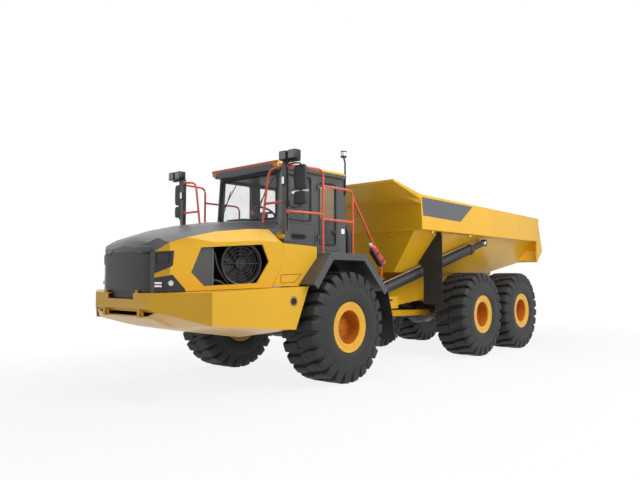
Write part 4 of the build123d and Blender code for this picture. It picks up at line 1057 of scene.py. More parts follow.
@dataclass
class Tyre:
    """Earthmover tyre: a round carcass and two staggered rows of deep lugs."""

    radius: float = 0.8985
    root: float = 0.836
    bore: float = 0.3185
    lugs: int = 24
    lug_width: float = 0.150
    steps: int = 96
    worn_from: float = 0.862
    worn_over: float = 0.03

    def carcass(self) -> Surface:
        """Turned carcass. Its section runs from bead to bead as (offset, radius) pairs.

        Returns:
            The surface.
        """
        half = np.array([
            (0.300, 0.330), (0.314, self.bore + 0.002), (0.330, 0.408), (0.346, 0.416),
            (0.353, 0.440), (0.362, 0.462), (0.366, 0.500), (0.371, 0.540), (0.372, 0.590),
            (0.369, 0.640), (0.364, 0.652), (0.366, 0.664), (0.361, 0.700), (0.351, 0.740),
            (0.338, 0.778), (0.318, 0.808), (0.285, 0.826), (0.20, self.root),
            (0.10, self.root + 0.002),
        ])
        profile = np.concatenate([half, (half * (-1, 1))[::-1], half[:1]])
        return turned(profile, self.steps, np.zeros(3), np.array(LEFT), np.array(AHEAD))

    def lug_rows(self) -> Surface:
        """Both rows of lugs.

        A lug runs from the middle of the tread (t = 0) over the shoulder and down the wall (t = 1).
        Its middle line zigzags round the tyre by a few degrees, and across it the section is a
        trapezium with rounded upper edges. A row that shrinks to a point closes its first end.

        Returns:
            The surface of all lugs.
        """
        t = np.linspace(0, 1, 15)

        def along(stops: Sequence[float], values: Sequence[float]) -> Array:
            """A measure that takes these values at these stops of t, as a column."""
            return np.interp(t, stops, values)[:, None]

        across = along(
            [0, 0.10, 0.45, 0.72, 0.82, 0.92, 1], [0.006, 0.02, 0.19, 0.322, 0.352, 0.361, 0.3655]
        )
        top = along(
            [0, 0.06, 0.45, 0.70, 0.80, 0.90, 1],
            [0.896, self.radius, self.radius, 0.893, 0.858, 0.800, 0.718],
        )
        foot = along([0, 0.45, 0.70, 0.80, 0.90, 1], [0.825, 0.825, 0.80, 0.775, 0.735, 0.700])
        bend = np.radians(along([0, 0.22, 0.5, 1], [-3.4, -1.4, 1.2, 1.6]))
        wide = along([0, 0.2, 0.5, 0.85, 1], [0.60, 0.86, 1.0, 1.02, 0.84])
        section = np.array([
            (-1.16, 0.0), (-1.0, 0.84), (-0.93, 0.96), (-0.82, 1.0), (0.82, 1.0), (0.93, 0.96),
            (1.0, 0.84), (1.16, 0.0),
        ])
        half_angle = self.lug_width / 2 / self.radius * wide * section[:, 0]
        shapes = []
        for hand in SIDES.values():
            middle = math.radians(360 / self.lugs) * (np.arange(self.lugs) + hand / 4)
            angle = middle[:, None, None] + hand * bend + half_angle
            reach = np.broadcast_to(foot + (top - foot) * section[:, 1], angle.shape)
            offset = np.broadcast_to(hand * across, angle.shape)
            rows = np.stack([np.cos(angle) * reach, offset, np.sin(angle) * reach], axis=3)
            start = rows[:, :1].mean(axis=2, keepdims=True).repeat(len(section), axis=2)
            grid = np.concatenate([start, rows], axis=1)
            shapes.append(Surface.grid(grid, round_second=True))
        return joined(shapes)


@dataclass
class Rim:
    """Deep-dished rim with a lock ring, a bolted flange and a hub cover."""

    steps: int = 96
    # Faces inside this radius get the painted shade of the dish.
    dish_shade_radius: float = 0.268
    flange: tuple[int, float, float] = (20, 0.222, 0.104)
    cover: tuple[int, float, float] = (12, 0.150, 0.1262)

    def section(self) -> Array:
        """Section from the hub cover outwards over the flange to the inner side.

        Returns:
            Its (offset, radius) pairs, an array (n, 2).
        """
        return np.array([
            (0.150, 0.0), (0.150, 0.060), (0.144, 0.072), (0.134, 0.078), (0.128, 0.100),
            (0.126, 0.170), (0.112, 0.182), (0.110, 0.196), (0.104, 0.200), (0.104, 0.244),
            (0.112, 0.252), (0.235, 0.258), (0.262, 0.262), (0.310, 0.266), (0.324, 0.272),
            (0.329, 0.284), (0.3315, 0.316), (0.327, 0.320), (0.3315, 0.324), (0.336, 0.350),
            (0.339, 0.378), (0.3425, 0.386), (0.3435, 0.394), (0.3435, 0.402), (0.339, 0.406),
            (0.331, 0.406), (0.317, 0.372), (0.313, 0.326), (0.314, 0.3175), (-0.314, 0.3175),
            (-0.317, 0.372), (-0.331, 0.406), (-0.343, 0.404), (-0.343, 0.384), (-0.320, 0.300),
            (0.055, 0.294), (0.060, 0.0),
        ])

    @staticmethod
    def bolts(ring: tuple[int, float, float], radius: float, height: float) -> Surface:
        """Bolt heads on a ring.

        Args:
            ring: how many there are, and the ring's radius and offset.
            radius: of a head.
            height: of a head.

        Returns:
            The surface of all heads.
        """
        count, reach, offset = ring
        turn = around(count)
        columns = [np.cos(turn) * reach, 0 * turn + offset, np.sin(turn) * reach]
        return domes(np.concatenate(columns, axis=1), LEFT, radius, height)

    def build(self) -> Surface:
        """Rim with its bolts."""
        shape = turned(self.section(), self.steps, np.zeros(3), np.array(LEFT), np.array(AHEAD))
        return shape + self.bolts(self.flange, 0.017, 0.022) + self.bolts(self.cover, 0.010, 0.010)


@dataclass
class Wheels:
    """Six tyres on their rims."""

    palette: Palette
    tyre: Tyre = field(default_factory=Tyre)
    rim: Rim = field(default_factory=Rim)

    def build(self) -> None:
        """Makes and places all wheels. Those on the right are turned round to face outwards."""
        tyre, rim = self.tyre.carcass() + self.tyre.lug_rows(), self.rim.build()
        for axle, ahead in AXLES.items():
            for side, hand in SIDES.items():
                wheel, body = f"{axle}_{side}", f"wheel_{axle}_{side}"
                centre = at(ahead, hand * HALF_TRACK, HUB_HEIGHT)
                facing = (hand, hand, 1.0)
                tread = mesh_piece(
                    f"tyre_tread_{wheel}", tyre.moved(facing, centre), self.palette[Finish.TYRE],
                    body, smooth=32,
                )
                self._mark(tread.data, centre)
                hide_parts(f"tyre_{wheel}")
                disc = mesh_piece(
                    f"rim_disc_{wheel}", rim.moved(facing, centre),
                    self.palette[Finish.WHEEL_YELLOW], body, smooth=28,
                )
                self._paint_dish_shade(disc.data, centre)
                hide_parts(f"rim_{wheel}")

    @staticmethod
    def _radii(items: bpy.types.bpy_prop_collection, key: str, centre: Array) -> Array:
        """How far vertices or faces are from a wheel's axis.

        Args:
            items: the vertices or faces of a mesh.
            key: the name of their place.
            centre: the wheel's centre.

        Returns:
            One distance for each.
        """
        points = np.zeros(len(items) * 3)
        items.foreach_get(key, points)
        points = points.reshape(-1, 3) - centre
        return np.hypot(points[:, 0], points[:, 2])

    def _paint_dish_shade(self, mesh: bpy.types.Mesh, centre: Array) -> None:
        """Gives the faces inside the rim's lip the darker yellow, which is painted shade of the
        deep dish.

        Args:
            mesh: the rim's mesh.
            centre: the wheel's centre.
        """
        mesh.materials.append(self.palette[Finish.SHADED_DISH_YELLOW])
        inside = self._radii(mesh.polygons, "center", centre) < self.rim.dish_shade_radius
        mesh.polygons.foreach_set("material_index", inside.astype(np.int32))

    def _mark(self, mesh: bpy.types.Mesh, centre: Array) -> None:
        """Writes the attributes: wear is 1 near the lugs' tops, ring is the radius in metres.

        Args:
            mesh: the tyre's mesh.
            centre: the wheel's centre.
        """
        radius = self._radii(mesh.vertices, "co", centre)
        wear = np.clip((radius - self.tyre.worn_from) / self.tyre.worn_over, 0, 1)
        for name, values in (("wear", wear), ("ring", radius)):
            layer = mesh.attributes.new(name, "FLOAT", "POINT")
            layer.data.foreach_set("value", values.astype(np.float32))


# Fittings


@dataclass
class Assembly:
    """A group of pieces with one palette."""

    palette: Palette

    def fit(
        self, name: str, finish: Finish, *shapes: Surface, body: str = "root", paired: bool = False
    ) -> bpy.types.Object:
        """Makes one piece.

        Args:
            name: the piece's name.
            finish: its finish.
            *shapes: the shapes that it is made of.
            body: the body that it moves with.
            paired: whether the mirror images of the shapes are part of it.

        Returns:
            The object.
        """
        whole = joined(shapes)
        return mesh_piece(name, both(whole) if paired else whole, self.palette[finish], body)

    def pair(
        self, name: str, finish: Finish, *shapes: Surface, body: str = "root"
    ) -> bpy.types.Object:
        """Makes one piece of the shapes and their mirror images."""
        return self.fit(name, finish, *shapes, body=body, paired=True)


@dataclass
class Handrails(Assembly):
    """Orange tube rails with bent corners, clamps on the masts and feet on the deck."""

    radius: float = 0.019
    mast: float = 1.12
    mast_walls: tuple[float, float] = (1.265, 1.345)
    front: tuple[float, float] = (0.42, 0.52)
    back: float = -0.33
    left: float = 1.452
    deck: float = 2.0803
    guard: tuple[float, float] = (0.80, 2.551)
    step: float = 1.3153

    def paths(self) -> list[list[Point]]:
        """Corners of the rails.

        Returns:
            A list for each rail, of places ahead of the front axle, to the left and up.
        """
        inner, outer = self.mast_walls[0], self.mast_walls[1] + 0.021
        mast, left, back, deck = self.mast, self.left, self.back, self.deck
        near, far = self.front
        rails = [
            [(mast, outer, 3.41), (near, left, 3.41), (near, left, deck)],
            [(mast, outer, 2.70), (near, left, 2.70)],
            [(near, left, 3.15), (back, left, 3.15), (back, left, deck)],
            [(near, left, 2.62), (back, left, 2.62)],
            [(back, left, 3.04), (-1.13, left, 1.97), (-1.13, left, self.step)],
            [(mast, -outer, 3.38), (far, -left, 3.38), (far, -left, deck)],
            [(far, -left, 3.10), (back, -left, 3.10), (back, -left, deck)],
            [(far, -left, 2.62), (back, -left, 2.62)],
        ]
        for hand in SIDES.values():
            low, high = (mast, hand * self.guard[0], self.guard[1]), (mast, hand * 0.94, 3.37)
            rails.append([low, high, (mast, hand * inner, 3.40)])
            rails.append([(mast, hand * 0.85, 2.85), (mast, hand * inner, 2.85)])
        return rails

    def build(self) -> None:
        """Makes the rails, and the plates that hold them."""
        tubes = [tube(path, self.radius) for path in self.paths()]
        foot = [
            (0.0, 0.0), (0.0, 0.045), (0.008, 0.045), (0.012, 0.024), (0.030, 0.024), (0.030, 0.0),
        ]
        left, (near, far) = self.left, self.front
        places = [(near, left), (self.back, left), (far, -left), (self.back, -left)]
        feet = [ringed(at(*place, self.deck), UP, foot, 20) for place in places]
        rails = self.fit("handrail_tubes", Finish.ORANGE, *tubes, *feet)
        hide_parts("handrails")
        clamps = [
            block((1.095, wall + low, height - 0.03), (1.145, wall + high, height + 0.03))
            for wall, low, high, heights in (
                (self.mast_walls[0], -0.012, 0.004, (3.40, 2.85)),
                (self.mast_walls[1], -0.004, 0.024, (3.40, 2.70)),
            )
            for height in heights
        ]
        self.pair("rail_clamps", Finish.ORANGE, *clamps)


@dataclass
class MastHeads(Assembly):
    """Mirrors, work lamps and small lamps on the two masts."""

    arm: float = 0.013
    arm_bend: float = 0.05

    def build(self) -> None:
        """Makes the heads of both masts."""
        self._mirrors()
        self._lamps()
        self._brackets()

    def _mirrors(self) -> None:
        """Two rounded mirror housings a side on bent arms, with glass that looks back."""
        upper = [(1.12, 1.335, 3.40), (1.10, 1.46, 3.425), (1.03, 1.54, 3.425), (1.03, 1.54, 3.38)]
        lower = [(1.12, 1.335, 2.83), (1.08, 1.40, 2.76), (1.03, 1.54, 2.76), (1.03, 1.54, 2.82)]
        housings = self.pair(
            "mirror_housings", Finish.TRIM,
            block((1.0, 1.42, 3.02), (1.065, 1.66, 3.40), 0.34),
            block((1.0, 1.42, 2.79), (1.065, 1.66, 3.00), 0.40),
            tube(upper, self.arm, self.arm_bend),
            tube(lower, self.arm, self.arm_bend),
            tube([(1.03, 1.54, 2.98), (1.03, 1.54, 3.05)], 0.018),
            block((1.07, 1.335, 3.37), (1.16, 1.365, 3.43)),
            block((1.07, 1.335, 2.80), (1.16, 1.365, 2.86)),
        )
        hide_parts("mirrors")
        self.pair(
            "mirror_panes", Finish.MIRROR,
            block((0.998, 1.445, 3.045), (1.010, 1.635, 3.375), 0.2),
            block((0.998, 1.445, 2.815), (1.010, 1.635, 2.975), 0.25),
        )

    def _lamps(self) -> None:
        """Two work lamps a side on a bar, and a square lamp on the front of each mast."""
        heads = self.pair(
            "work_lamp_boxes", Finish.LAMP_BLACK,
            block((1.10, 1.268, 3.462), (1.233, 1.430, 3.606), 0.16),
            block((1.10, 1.458, 3.462), (1.233, 1.618, 3.606), 0.16),
            block((1.085, 1.268, 3.4405), (1.150, 1.600, 3.470), 0.12),
            block((1.150, 1.275, 3.09), (1.172, 1.335, 3.235), 0.16),
        )
        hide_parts("work_lamps")
        lenses = [
            block((1.226, low + 0.016, 3.482), (1.235, low + 0.146, 3.590), 0.2)
            for low in (1.268, 1.458)
        ]
        self.pair("work_lamp_lenses", Finish.DARK_LENS, *lenses)
        square = block((1.166, 1.280, 3.112), (1.178, 1.330, 3.222), 0.2)
        self.pair("mast_lamps", Finish.WHITE_LENS, square)

    def _brackets(self) -> None:
        """Yellow brackets with bolts at the foot of each mast, and a cable up the mast."""
        heads = placed([(1.171, left, 2.315) for left in (1.13, 1.20, 1.30)])
        self.pair(
            "mast_brackets", Finish.YELLOW,
            block((1.150, 1.10, 2.285), (1.172, 1.335, 2.345), 0.1),
            block((1.060, 1.185, 2.300), (1.172, 1.215, 2.375), 0.1),
            domes(heads, AHEAD, 0.012, 0.010),
        )
        cable = [(1.12, 1.350, 2.40), (1.12, 1.356, 2.62), (1.11, 1.352, 2.95), (1.12, 1.350, 3.44)]
        self.pair("mast_cables", Finish.SEAL, tube(cable, 0.008, 0.1, 8))


@dataclass
class Nose(Assembly):
    """What sits on the hood's nose and in its side openings."""

    lamp_normal: Point = (0.894, 0.447, 0.0)
    lamp_reach: float = 2.9435
    skin_normal: Point = (0.270, 0.963, 0.0)
    panel_normal: Point = (-0.002, -0.008, 0.0)
    strip_normal: Point = (-0.002, -0.010, 0.0)
    fan: Point = (1.805, 1.105, 1.900)
    fan_slope: float = 0.285
    wires: Sequence[float] = (0.285, 0.235, 0.185, 0.135, 0.085)
    wire: float = 0.004

    def build(self) -> None:
        """Makes the nose's small pieces."""
        self._face()
        self._lamps()
        self._panels()
        self._fans()
        struts = [
            tube([(2.20, 0.97, 2.05), (2.14, 0.985, 1.80), (1.98, 1.02, 1.60)], 0.016),
            tube([(2.22, 0.95, 1.66), (2.10, 0.98, 1.64), (2.02, 1.00, 1.58)], 0.020),
        ]
        self.pair("bay_struts", Finish.CHASSIS, *struts, body="hood")

    def _face(self) -> None:
        """Corner fillers beside the grille, a plate behind it and a strip above it."""
        corner = [
            (2.9915, 0.600, 1.47), (2.9915, 0.600, 2.045),
            (2.9640, 0.6570, 2.045), (2.9640, 0.6570, 1.47),
        ]
        filler = plate(placed(corner), (-0.03, -0.02, 0))
        self.pair("nose_corners", Finish.GREY, filler, body="hood")
        back = block((2.90, -0.57, 1.47), (2.94, 0.57, 2.06), 0.1)
        self.fit("grille_backing", Finish.CHASSIS, back, body="hood")
        path = placed([
            (2.997, -0.600, 2.090), (3.0225, -0.530, 2.090), (3.0525, 0.0, 2.090),
            (3.0225, 0.530, 2.090), (2.997, 0.600, 2.090),
        ])
        band = np.array([
            (-0.012, -0.034), (0.004, -0.034), (0.004, 0.026), (-0.006, 0.034), (-0.012, 0.034),
        ])
        self.fit("cap_nose", Finish.GREY, swept(path, band, UP), body="hood")

    def _on_lamp(self, corners: Sequence[tuple[float, float]], proud: float) -> Array:
        """Puts corners on the headlamp's face.

        Args:
            corners: (ahead, height) pairs.
            proud: how far out of the face they come.

        Returns:
            The corners as points, an array (n, 3).
        """
        ahead, height = np.array(corners).T
        along, across = self.lamp_normal[:2]
        left = (self.lamp_reach - along * ahead) / across
        return placed(np.stack([ahead, left, height], axis=1)) + np.array(self.lamp_normal) * proud

    def _lamps(self) -> None:
        """Light bars, round lamps and the upper lamps' frames."""
        front, rear = 2.962, 2.915
        bars = []
        for low, high in ((1.609, 1.633), (1.567, 1.591)):
            corners = [(front, low), (front, high), (rear, high), (rear, low)]
            bars.append(plate(self._on_lamp(corners, 0.004), np.array(self.lamp_normal) * -0.012))
        profile = [
            (-0.02, 0.0), (-0.02, 0.036), (0.006, 0.036), (0.010, 0.030), (0.004, 0.026),
            (0.006, 0.0),
        ]
        spot = ringed(at(2.846, 0.868, 1.619), self.skin_normal, profile)
        self.pair("light_bars", Finish.WHITE_LENS, *bars, body="hood")
        self.pair("nose_spots", Finish.CLEAR_LENS, spot, body="hood")
        outline = [(2.955, 1.885), (2.955, 2.025), (2.868, 2.035), (2.868, 1.915)]
        frame = border(self._on_lamp(outline, 0.003), self.lamp_normal, 0.008, 0.010, 0.01)
        self.pair("upper_lamp_frames", Finish.SEAL, frame, body="hood")

    def _panels(self) -> None:
        """Dark panel and its edge strip at the front of each side opening."""
        panel = [(2.66, 0.870, 1.60), (2.66, 0.870, 2.10), (2.25, 0.990, 2.16), (2.25, 0.990, 1.56)]
        shape = plate(placed(panel), self.panel_normal)
        self.pair("bay_panels", Finish.GREY, shape, body="hood")
        strip = [
            (2.262, 0.992, 1.58), (2.262, 0.992, 2.15), (2.232, 1.000, 2.15), (2.232, 1.000, 1.58),
        ]
        shape = plate(placed(strip), self.strip_normal)
        self.pair("bay_strips", Finish.STRIPE, shape, body="hood")

    def _fans(self) -> None:
        """Fans behind the side openings: wire guard, housing's rim, blades and hub."""
        out = np.array((self.fan_slope, 1.0, 0.0)) / math.hypot(self.fan_slope, 1.0)
        along = np.cross(UP, out)
        face, wire = at(*self.fan), self.wire
        guard = face - out * 0.02

        def rays(turn: float, count: int) -> list[Array]:
            """Unit vectors in the fan's plane, spread over a turn."""
            angles = np.linspace(0, turn, count, endpoint=False)[:, None]
            return list(np.cos(angles) * along + np.sin(angles) * np.array(UP))

        square = wire * np.array([(-1, -1), (1, -1), (1, 1), (-1, 1), (-1, -1)])
        rings = [ringed(guard, out, square + (0.0, radius), 56) for radius in self.wires]
        reach = 0.30
        spokes = [
            pipe([guard - ray * reach, guard + ray * reach], wire, steps=8)
            for ray in rays(math.pi, 4)
        ]
        rim = ringed(face, out, [
            (-0.03, 0.292), (0.0, 0.298), (0.004, 0.304), (0.004, 0.318), (-0.004, 0.3225),
            (-0.03, 0.3225),
        ], 56)
        self.pair("fan_guards", Finish.LAMP_BLACK, *rings, *spokes, rim)
        blades = []
        for ray in rays(2 * math.pi, 9):
            side = np.cross(out, ray)
            root, tip = face - out * 0.11 + ray * 0.07, face - out * 0.11 + ray * 0.285
            blades.append(plate([
                root - side * 0.035 - out * 0.02, tip - side * 0.07 - out * 0.03,
                tip + side * 0.05 + out * 0.03, root + side * 0.03 + out * 0.02,
            ], out * 0.005))
        hub = [(-0.05, 0.0), (-0.05, 0.08), (0.05, 0.08), (0.065, 0.06), (0.065, 0.0)]
        self.pair("fan_blades", Finish.TRIM, *blades, ringed(face - out * 0.13, out, hub))


@dataclass
class CabTrim(Assembly):
    """Seals, roof edge, sun visor, wipers, handles, duct and the inside of the cab."""

    wall: float = 0.780
    screen_normal: Point = (0.9975, 0.0, 0.071)

    def build(self) -> None:
        """Makes the cab's trim."""
        self._roof()
        self._seals()
        self._front()
        self._inside()
        self._behind()

    def _roof(self) -> None:
        """Dark eaves, an orange front edge, a dark visor, roof ribs and the beacon's lens."""
        eaves = block((-0.905, 0.832, 3.486), (0.800, 0.846, 3.540), 0.1)
        edge = block((0.806, -0.842, 3.552), (0.845, 0.842, 3.592), 0.1)
        visor = block((0.66, -0.775, 3.440), (0.846, 0.775, 3.550), 0.16)
        ribs = [
            block((-0.82, y - 0.03, 3.584), (0.76, y + 0.03, 3.598), 0.2)
            for y in (-0.6, -0.3, 0.0, 0.3, 0.6)
        ]
        lens = ringed(at(-0.92, 0.77, 3.895), UP, [
            (0.020, 0.050), (0.024, 0.0592), (0.090, 0.0592), (0.106, 0.050), (0.1148, 0.030),
            (0.1149, 0.0),
        ])
        self.pair("roof_eaves", Finish.CAB_GREY, eaves)
        self.fit("roof_edges", Finish.ORANGE, edge)
        self.fit("sun_visor", Finish.CAB_GREY, visor)
        self.fit("roof_ribs", Finish.YELLOW, *ribs)
        self.fit("beacon_lens", Finish.CLEAR_LENS, lens)

    def _seals(self) -> None:
        """Black rubber seals round the panes of both sides, the door and the windscreen."""
        seals = []
        low, high = 2.65, 3.41
        for hand, front, rear, slope in (
            (1, 0.63, -0.02, 0.045), (-1, 0.63, -0.02, 0.045), (-1, -0.23, -0.69, 0.0)
        ):
            wall = hand * self.wall
            corners = placed([
                (front + slope / 2, wall, low), (front - slope / 2, wall, high),
                (rear, wall, high), (rear, wall, low),
            ])
            seals.append(border(corners, LEFT, 0.026, 0.010, 0.05))
        screen = placed([
            (0.760, -0.72, 2.66), (0.760, 0.72, 2.66), (0.707, 0.72, 3.40), (0.707, -0.72, 3.40),
        ])
        seals.append(border(screen, self.screen_normal, 0.028, 0.010, 0.06))
        self.fit("window_seals", Finish.SEAL, *seals)
        corners = placed([
            (-0.24, self.wall, 2.26), (-0.24, self.wall, 3.36), (-0.68, self.wall, 3.36),
            (-0.68, self.wall, 2.26),
        ])
        seal = border(corners, LEFT, 0.024, 0.010, 0.08)
        self.fit("door_seal", Finish.SEAL, seal, body="cab_door")
        self.fit(
            "door_handle", Finish.TRIM,
            block((-0.700, 0.776, 2.47), (-0.585, 0.788, 2.53), 0.3),
            block((-0.690, 0.784, 2.49), (-0.600, 0.803, 2.512), 0.4),
            body="cab_door",
        )

    def _front(self) -> None:
        """Wipers on the windscreen, and the dark recess with its grip below the side window."""
        normal = np.array(self.screen_normal)
        wipers = []
        for left in (-0.62, 0.30):
            foot, tip = at(0.765, left, 2.66), at(0.722, left + 0.20, 3.20)
            bend = foot + normal * 0.030 + (0, 0.01, 0.05)
            arm = [foot + normal * 0.012, bend, tip + normal * 0.028]
            low, high = at(0.745, left + 0.02, 2.90), at(0.707, left + 0.34, 3.34)
            wipers.append(pipe(arm, 0.008, 0.03, 8))
            wipers.append(pipe([low + normal * 0.016, high + normal * 0.016], 0.008, steps=8))
        self.fit("wipers", Finish.TRIM, *wipers)
        recess = block((0.10, 0.772, 2.335), (0.46, 0.784, 2.430), 0.45)
        self.pair("side_recess", Finish.SEAL, recess)
        grip = [(0.14, 0.778, 2.40), (0.16, 0.808, 2.40), (0.40, 0.808, 2.40), (0.42, 0.778, 2.40)]
        self.pair("side_grips", Finish.TRIM, tube(grip, 0.009, 0.03, 10))
        wall, front, rear, low, high = self.wall + 0.0005, 0.70, -0.12, 2.12, 2.60
        seam = placed([
            (front, wall, low), (front, wall, high), (rear, wall, high), (rear, wall, low),
        ])
        self.pair("side_seams", Finish.SEAL, border(seam, LEFT, 0.006, 0.004, 0.03))

    def _inside(self) -> None:
        """Dashboard, consoles with levers, rear panel, roof lining, display and belt reel."""
        boxes = [
            ((0.47, -0.66, 2.50), (0.70, -0.10, 2.72), 0.3),
            ((-0.55, 0.34, 2.152), (0.15, 0.52, 2.66), 0.2),
            ((-0.55, -0.52, 2.152), (0.15, -0.34, 2.66), 0.2),
            ((-0.88, -0.62, 2.152), (-0.76, 0.0, 3.10), 0.3),
            ((-0.85, -0.68, 3.44), (0.60, 0.68, 3.478), 0.2),
            ((0.58, 0.10, 2.62), (0.64, 0.36, 2.80), 0.3),
        ]
        places = (0.40, 0.46, -0.42)
        levers = [tube([(0.05, left, 2.65), (0.07, left, 2.80)], 0.010, steps=8) for left in places]
        knobs = [
            block((0.045, left - 0.025, 2.79), (0.10, left + 0.025, 2.85), 0.8) for left in places
        ]
        self.fit("dashboard", Finish.TRIM, *[block(*box) for box in boxes], *levers, *knobs)
        self.fit("belt_reel", Finish.RED, block((0.36, -0.30, 2.80), (0.40, -0.20, 2.90), 0.5))

    def _behind(self) -> None:
        """Curved intake duct, straps and cap on the air cleaner, and a lamp on the rear pillar."""
        path = [(-1.10, -0.33, 2.83), (-1.10, 0.55, 2.72), (-1.10, 0.72, 2.57), (-1.10, 0.72, 2.10)]
        cap = ringed(at(-1.12, -0.33, 2.86), UP, [
            (0.0, 0.131), (0.0, 0.139), (0.035, 0.139), (0.052, 0.10), (0.058, 0.0),
        ])
        band = [(-0.02, 0.1305), (-0.02, 0.135), (0.02, 0.135), (0.02, 0.1305)]
        straps = [ringed(at(-1.12, -0.33, z), UP, band) for z in (2.32, 2.66)]
        self.fit("intake_duct", Finish.TRIM, tube(path, 0.075, 0.25, 20), cap, *straps)
        lamp = block((-0.90, 0.778, 2.48), (-0.82, 0.806, 2.57), 0.3)
        self.fit("pillar_lamp", Finish.WHITE_LENS, lamp)


@dataclass
class BodyTrim(Assembly):
    """Plain stripe, lug, ledge and holders on the dump body."""

    side: float = 1.549

    def build(self) -> None:
        """Makes the body's trim."""
        corners = [(-2.322, 3.235), (-4.343, 3.215), (-3.817, 2.855), (-2.368, 2.881)]
        stripe = plate(placed([(ahead, self.side, z) for ahead, z in corners]), (0, 0.002, 0))
        lug = ringed(at(-2.335, 0.80, 2.58), AHEAD, [
            (-0.02, 0.030), (-0.02, 0.055), (0.018, 0.055), (0.018, 0.030), (-0.02, 0.030),
        ], 24)
        ledge = block((-2.350, -1.36, 2.600), (-2.316, 1.36, 2.634), 0.12)
        holders = [
            block((-2.760, 1.50, 2.555), (-2.700, 1.545, 2.603), 0.12),
            block((-4.30, 1.50, 2.560), (-4.20, 1.545, 2.603), 0.12),
        ]
        self.pair("body_stripes", Finish.STRIPE, stripe, body="dump_body")
        self.pair("headboard_lugs", Finish.YELLOW, lug, body="dump_body")
        self.fit("headboard_ledge", Finish.YELLOW, ledge, body="dump_body")
        self.pair("rail_holders", Finish.YELLOW, *holders, body="dump_body")


@dataclass
class Cylinders(Assembly):
    """Collars and end caps of the hoist cylinders, and the hoses that feed them."""

    foot: Point = (-2.000, 0.600, 1.360)
    eye: Point = (-5.050, 1.450, 2.470)
    radius: float = 0.105
    bolts: int = 10
    bolt_circle: float = 0.088

    def build(self) -> None:
        """Makes the collars, hoses, sleeves and bosses of both hoist cylinders."""
        for side, hand in SIDES.items():
            foot, eye = at(*self.foot) * (1, hand, 1), at(*self.eye) * (1, hand, 1)
            axis = (eye - foot) / np.linalg.norm(eye - foot)
            front_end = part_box(f"hoist_barrel_{side}")[0][0]
            reach = (foot[0] - front_end - self.radius * abs(axis[2])) / abs(axis[0])
            across = np.cross(axis, UP)
            across /= np.linalg.norm(across)
            rise = np.cross(across, axis)
            turn = np.linspace(0, 2 * math.pi, self.bolts, endpoint=False)[:, None]
            spread = np.cos(turn) * across + np.sin(turn) * rise
            ring = foot + axis * (reach - 0.012) + self.bolt_circle * spread
            collar = ringed(foot + axis * (reach - 0.075), axis, [
                (-0.03, self.radius), (-0.026, self.radius + 0.012), (0.050, self.radius + 0.012),
                (0.062, self.radius + 0.004), (0.064, 0.0635),
            ], 40)
            barrel, rod = f"hoist_barrel_{side}", f"hoist_rod_{side}"
            bolts = domes(ring, axis, 0.011, 0.010)
            self.fit(f"hoist_collar_{side}", Finish.CHASSIS, collar, bolts, body=barrel)
            sleeve = ringed(foot, axis, [
                (2.950, 0.0603), (2.955, 0.064), (3.280, 0.064), (3.285, 0.0603),
            ])
            boss = ringed(eye, LEFT, [
                (-0.0400, 0.040), (-0.0400, 0.0765), (0.0400, 0.0765), (0.0400, 0.040),
            ], 40)
            self.fit(f"hoist_rod_end_{side}", Finish.CHASSIS, sleeve, boss, body=rod)
            places = ((0.30, -0.004), (0.36, 0.016), (reach - 0.14, 0.016), (reach - 0.10, -0.004))
            line = [foot + axis * place + rise * (self.radius + lift) for place, lift in places]
            self.fit(f"hoist_line_{side}", Finish.STEEL, pipe(line, 0.012, 0.03, 10), body=barrel)


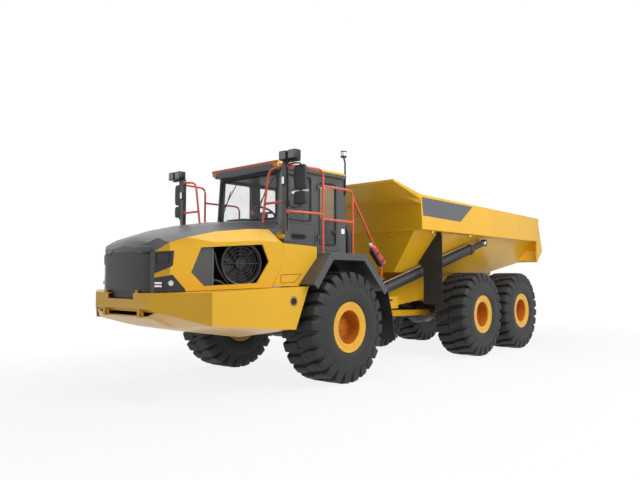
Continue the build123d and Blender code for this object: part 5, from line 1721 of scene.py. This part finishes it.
@dataclass
class Fittings(Assembly):
    """Extinguisher, filler socket, hatch outlines and reflectors."""

    hatch_normal: Point = (0.207, 0.978, 0.011)
    hatch_base: Point = (0.873, 1.382, 1.932)

    def build(self) -> None:
        """Makes the small fittings."""
        self._extinguisher()
        self._socket()
        self._outlines()
        # The reflectors' red lens finish glows a little, which is painted light on a part that is
        # no lamp.
        reflector = block((-1.368, 1.44, 0.622), (-1.352, 1.62, 0.668), 0.15)
        self.pair("reflectors", Finish.RED_LENS, reflector)

    def _extinguisher(self) -> None:
        """Red bottle on the fender's rear slope, with its head, straps and rail."""
        low, high = at(-0.905, 1.600, 1.865), at(-0.600, 1.600, 2.165)
        axis = (high - low) / np.linalg.norm(high - low)
        out = np.array((-axis[2], 0.0, axis[0]))
        low, high = low + out * 0.085, high + out * 0.085
        length = float(np.linalg.norm(high - low))
        bottle = ringed(low, axis, [
            (0.0, 0.0), (0.0, 0.050), (0.012, 0.064), (length - 0.06, 0.064),
            (length - 0.025, 0.052), (length, 0.026), (length, 0.0),
        ])
        head = ringed(high, axis, [
            (0.0, 0.0), (0.0, 0.022), (0.03, 0.022), (0.034, 0.030), (0.055, 0.028), (0.058, 0.0),
        ], 24)
        band = [(-0.014, 0.0645), (-0.014, 0.068), (0.014, 0.068), (0.014, 0.0645)]
        straps = [ringed(low + axis * place, axis, band) for place in (0.09, 0.27)]
        path = np.array([low + axis * 0.02 - out * 0.070, high - axis * 0.04 - out * 0.070])
        bar = np.array([(-0.045, -0.012), (0.045, -0.012), (0.045, 0.012), (-0.045, 0.012)])
        self.fit("extinguisher_bottle", Finish.RED, bottle)
        # The head's clear lens finish glows a little, which is painted light on a part that is no
        # lamp.
        self.fit("extinguisher_head", Finish.CLEAR_LENS, head)
        self.fit("extinguisher_bracket", Finish.TRIM, *straps, swept(path, bar, out))

    def _socket(self) -> None:
        """Round black socket with a dark ring on each side of the apron."""
        centre = at(1.128, 1.500, 1.342)
        socket = ringed(centre, LEFT, [
            (-0.004, 0.056), (0.004, 0.056), (0.010, 0.050), (0.010, 0.038), (0.003, 0.030),
            (0.003, 0.014), (0.012, 0.012), (0.012, 0.0),
        ], 40)
        ring = [(-0.003, 0.066), (0.003, 0.067), (0.003, 0.076), (-0.003, 0.077)]
        self.pair("filler_sockets", Finish.SEAL, socket)
        self.pair("socket_rings", Finish.STRIPE, ringed(centre, LEFT, ring, 40))

    def _outlines(self) -> None:
        """Seam of the hatch on each side panel."""
        ahead, height = np.array([(1.214, 1.734), (0.854, 1.749), (0.977, 1.623), (1.214, 1.611)]).T
        normal = np.array(self.hatch_normal)
        base_ahead, base_left, base_height = self.hatch_base
        drop = (ahead - base_ahead) * normal[0] + (height - base_height) * normal[2]
        points = placed(np.stack([ahead, base_left - drop / normal[1], height], axis=1))
        seam = border(points + normal * 0.0005, normal, 0.006, 0.004, 0.012)
        self.pair("hatch_outlines", Finish.SEAL, seam)


# Main


def main() -> None:
    """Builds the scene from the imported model."""
    logging.basicConfig(level=logging.INFO, format="%(name)s: %(message)s")
    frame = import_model()
    studio = Studio()
    studio.camera()
    palette = Palette()
    members = frame["record"]["behaviour"]["bodies"]
    bodies = {node: body for body, nodes in members.items() for node in nodes}
    dressing = Dressing(palette, frame["nodes"], bodies)
    dressing.colour()
    dressing.soften()
    LOG.info("finishes are on %d solids", len(frame["nodes"]))
    for assembly in (Wheels, Handrails, MastHeads, Nose, CabTrim, BodyTrim, Cylinders, Fittings):
        assembly(palette).build()
        LOG.info("%s are on", assembly.__name__)
    studio.build()


if __name__ == "__main__":
    main()
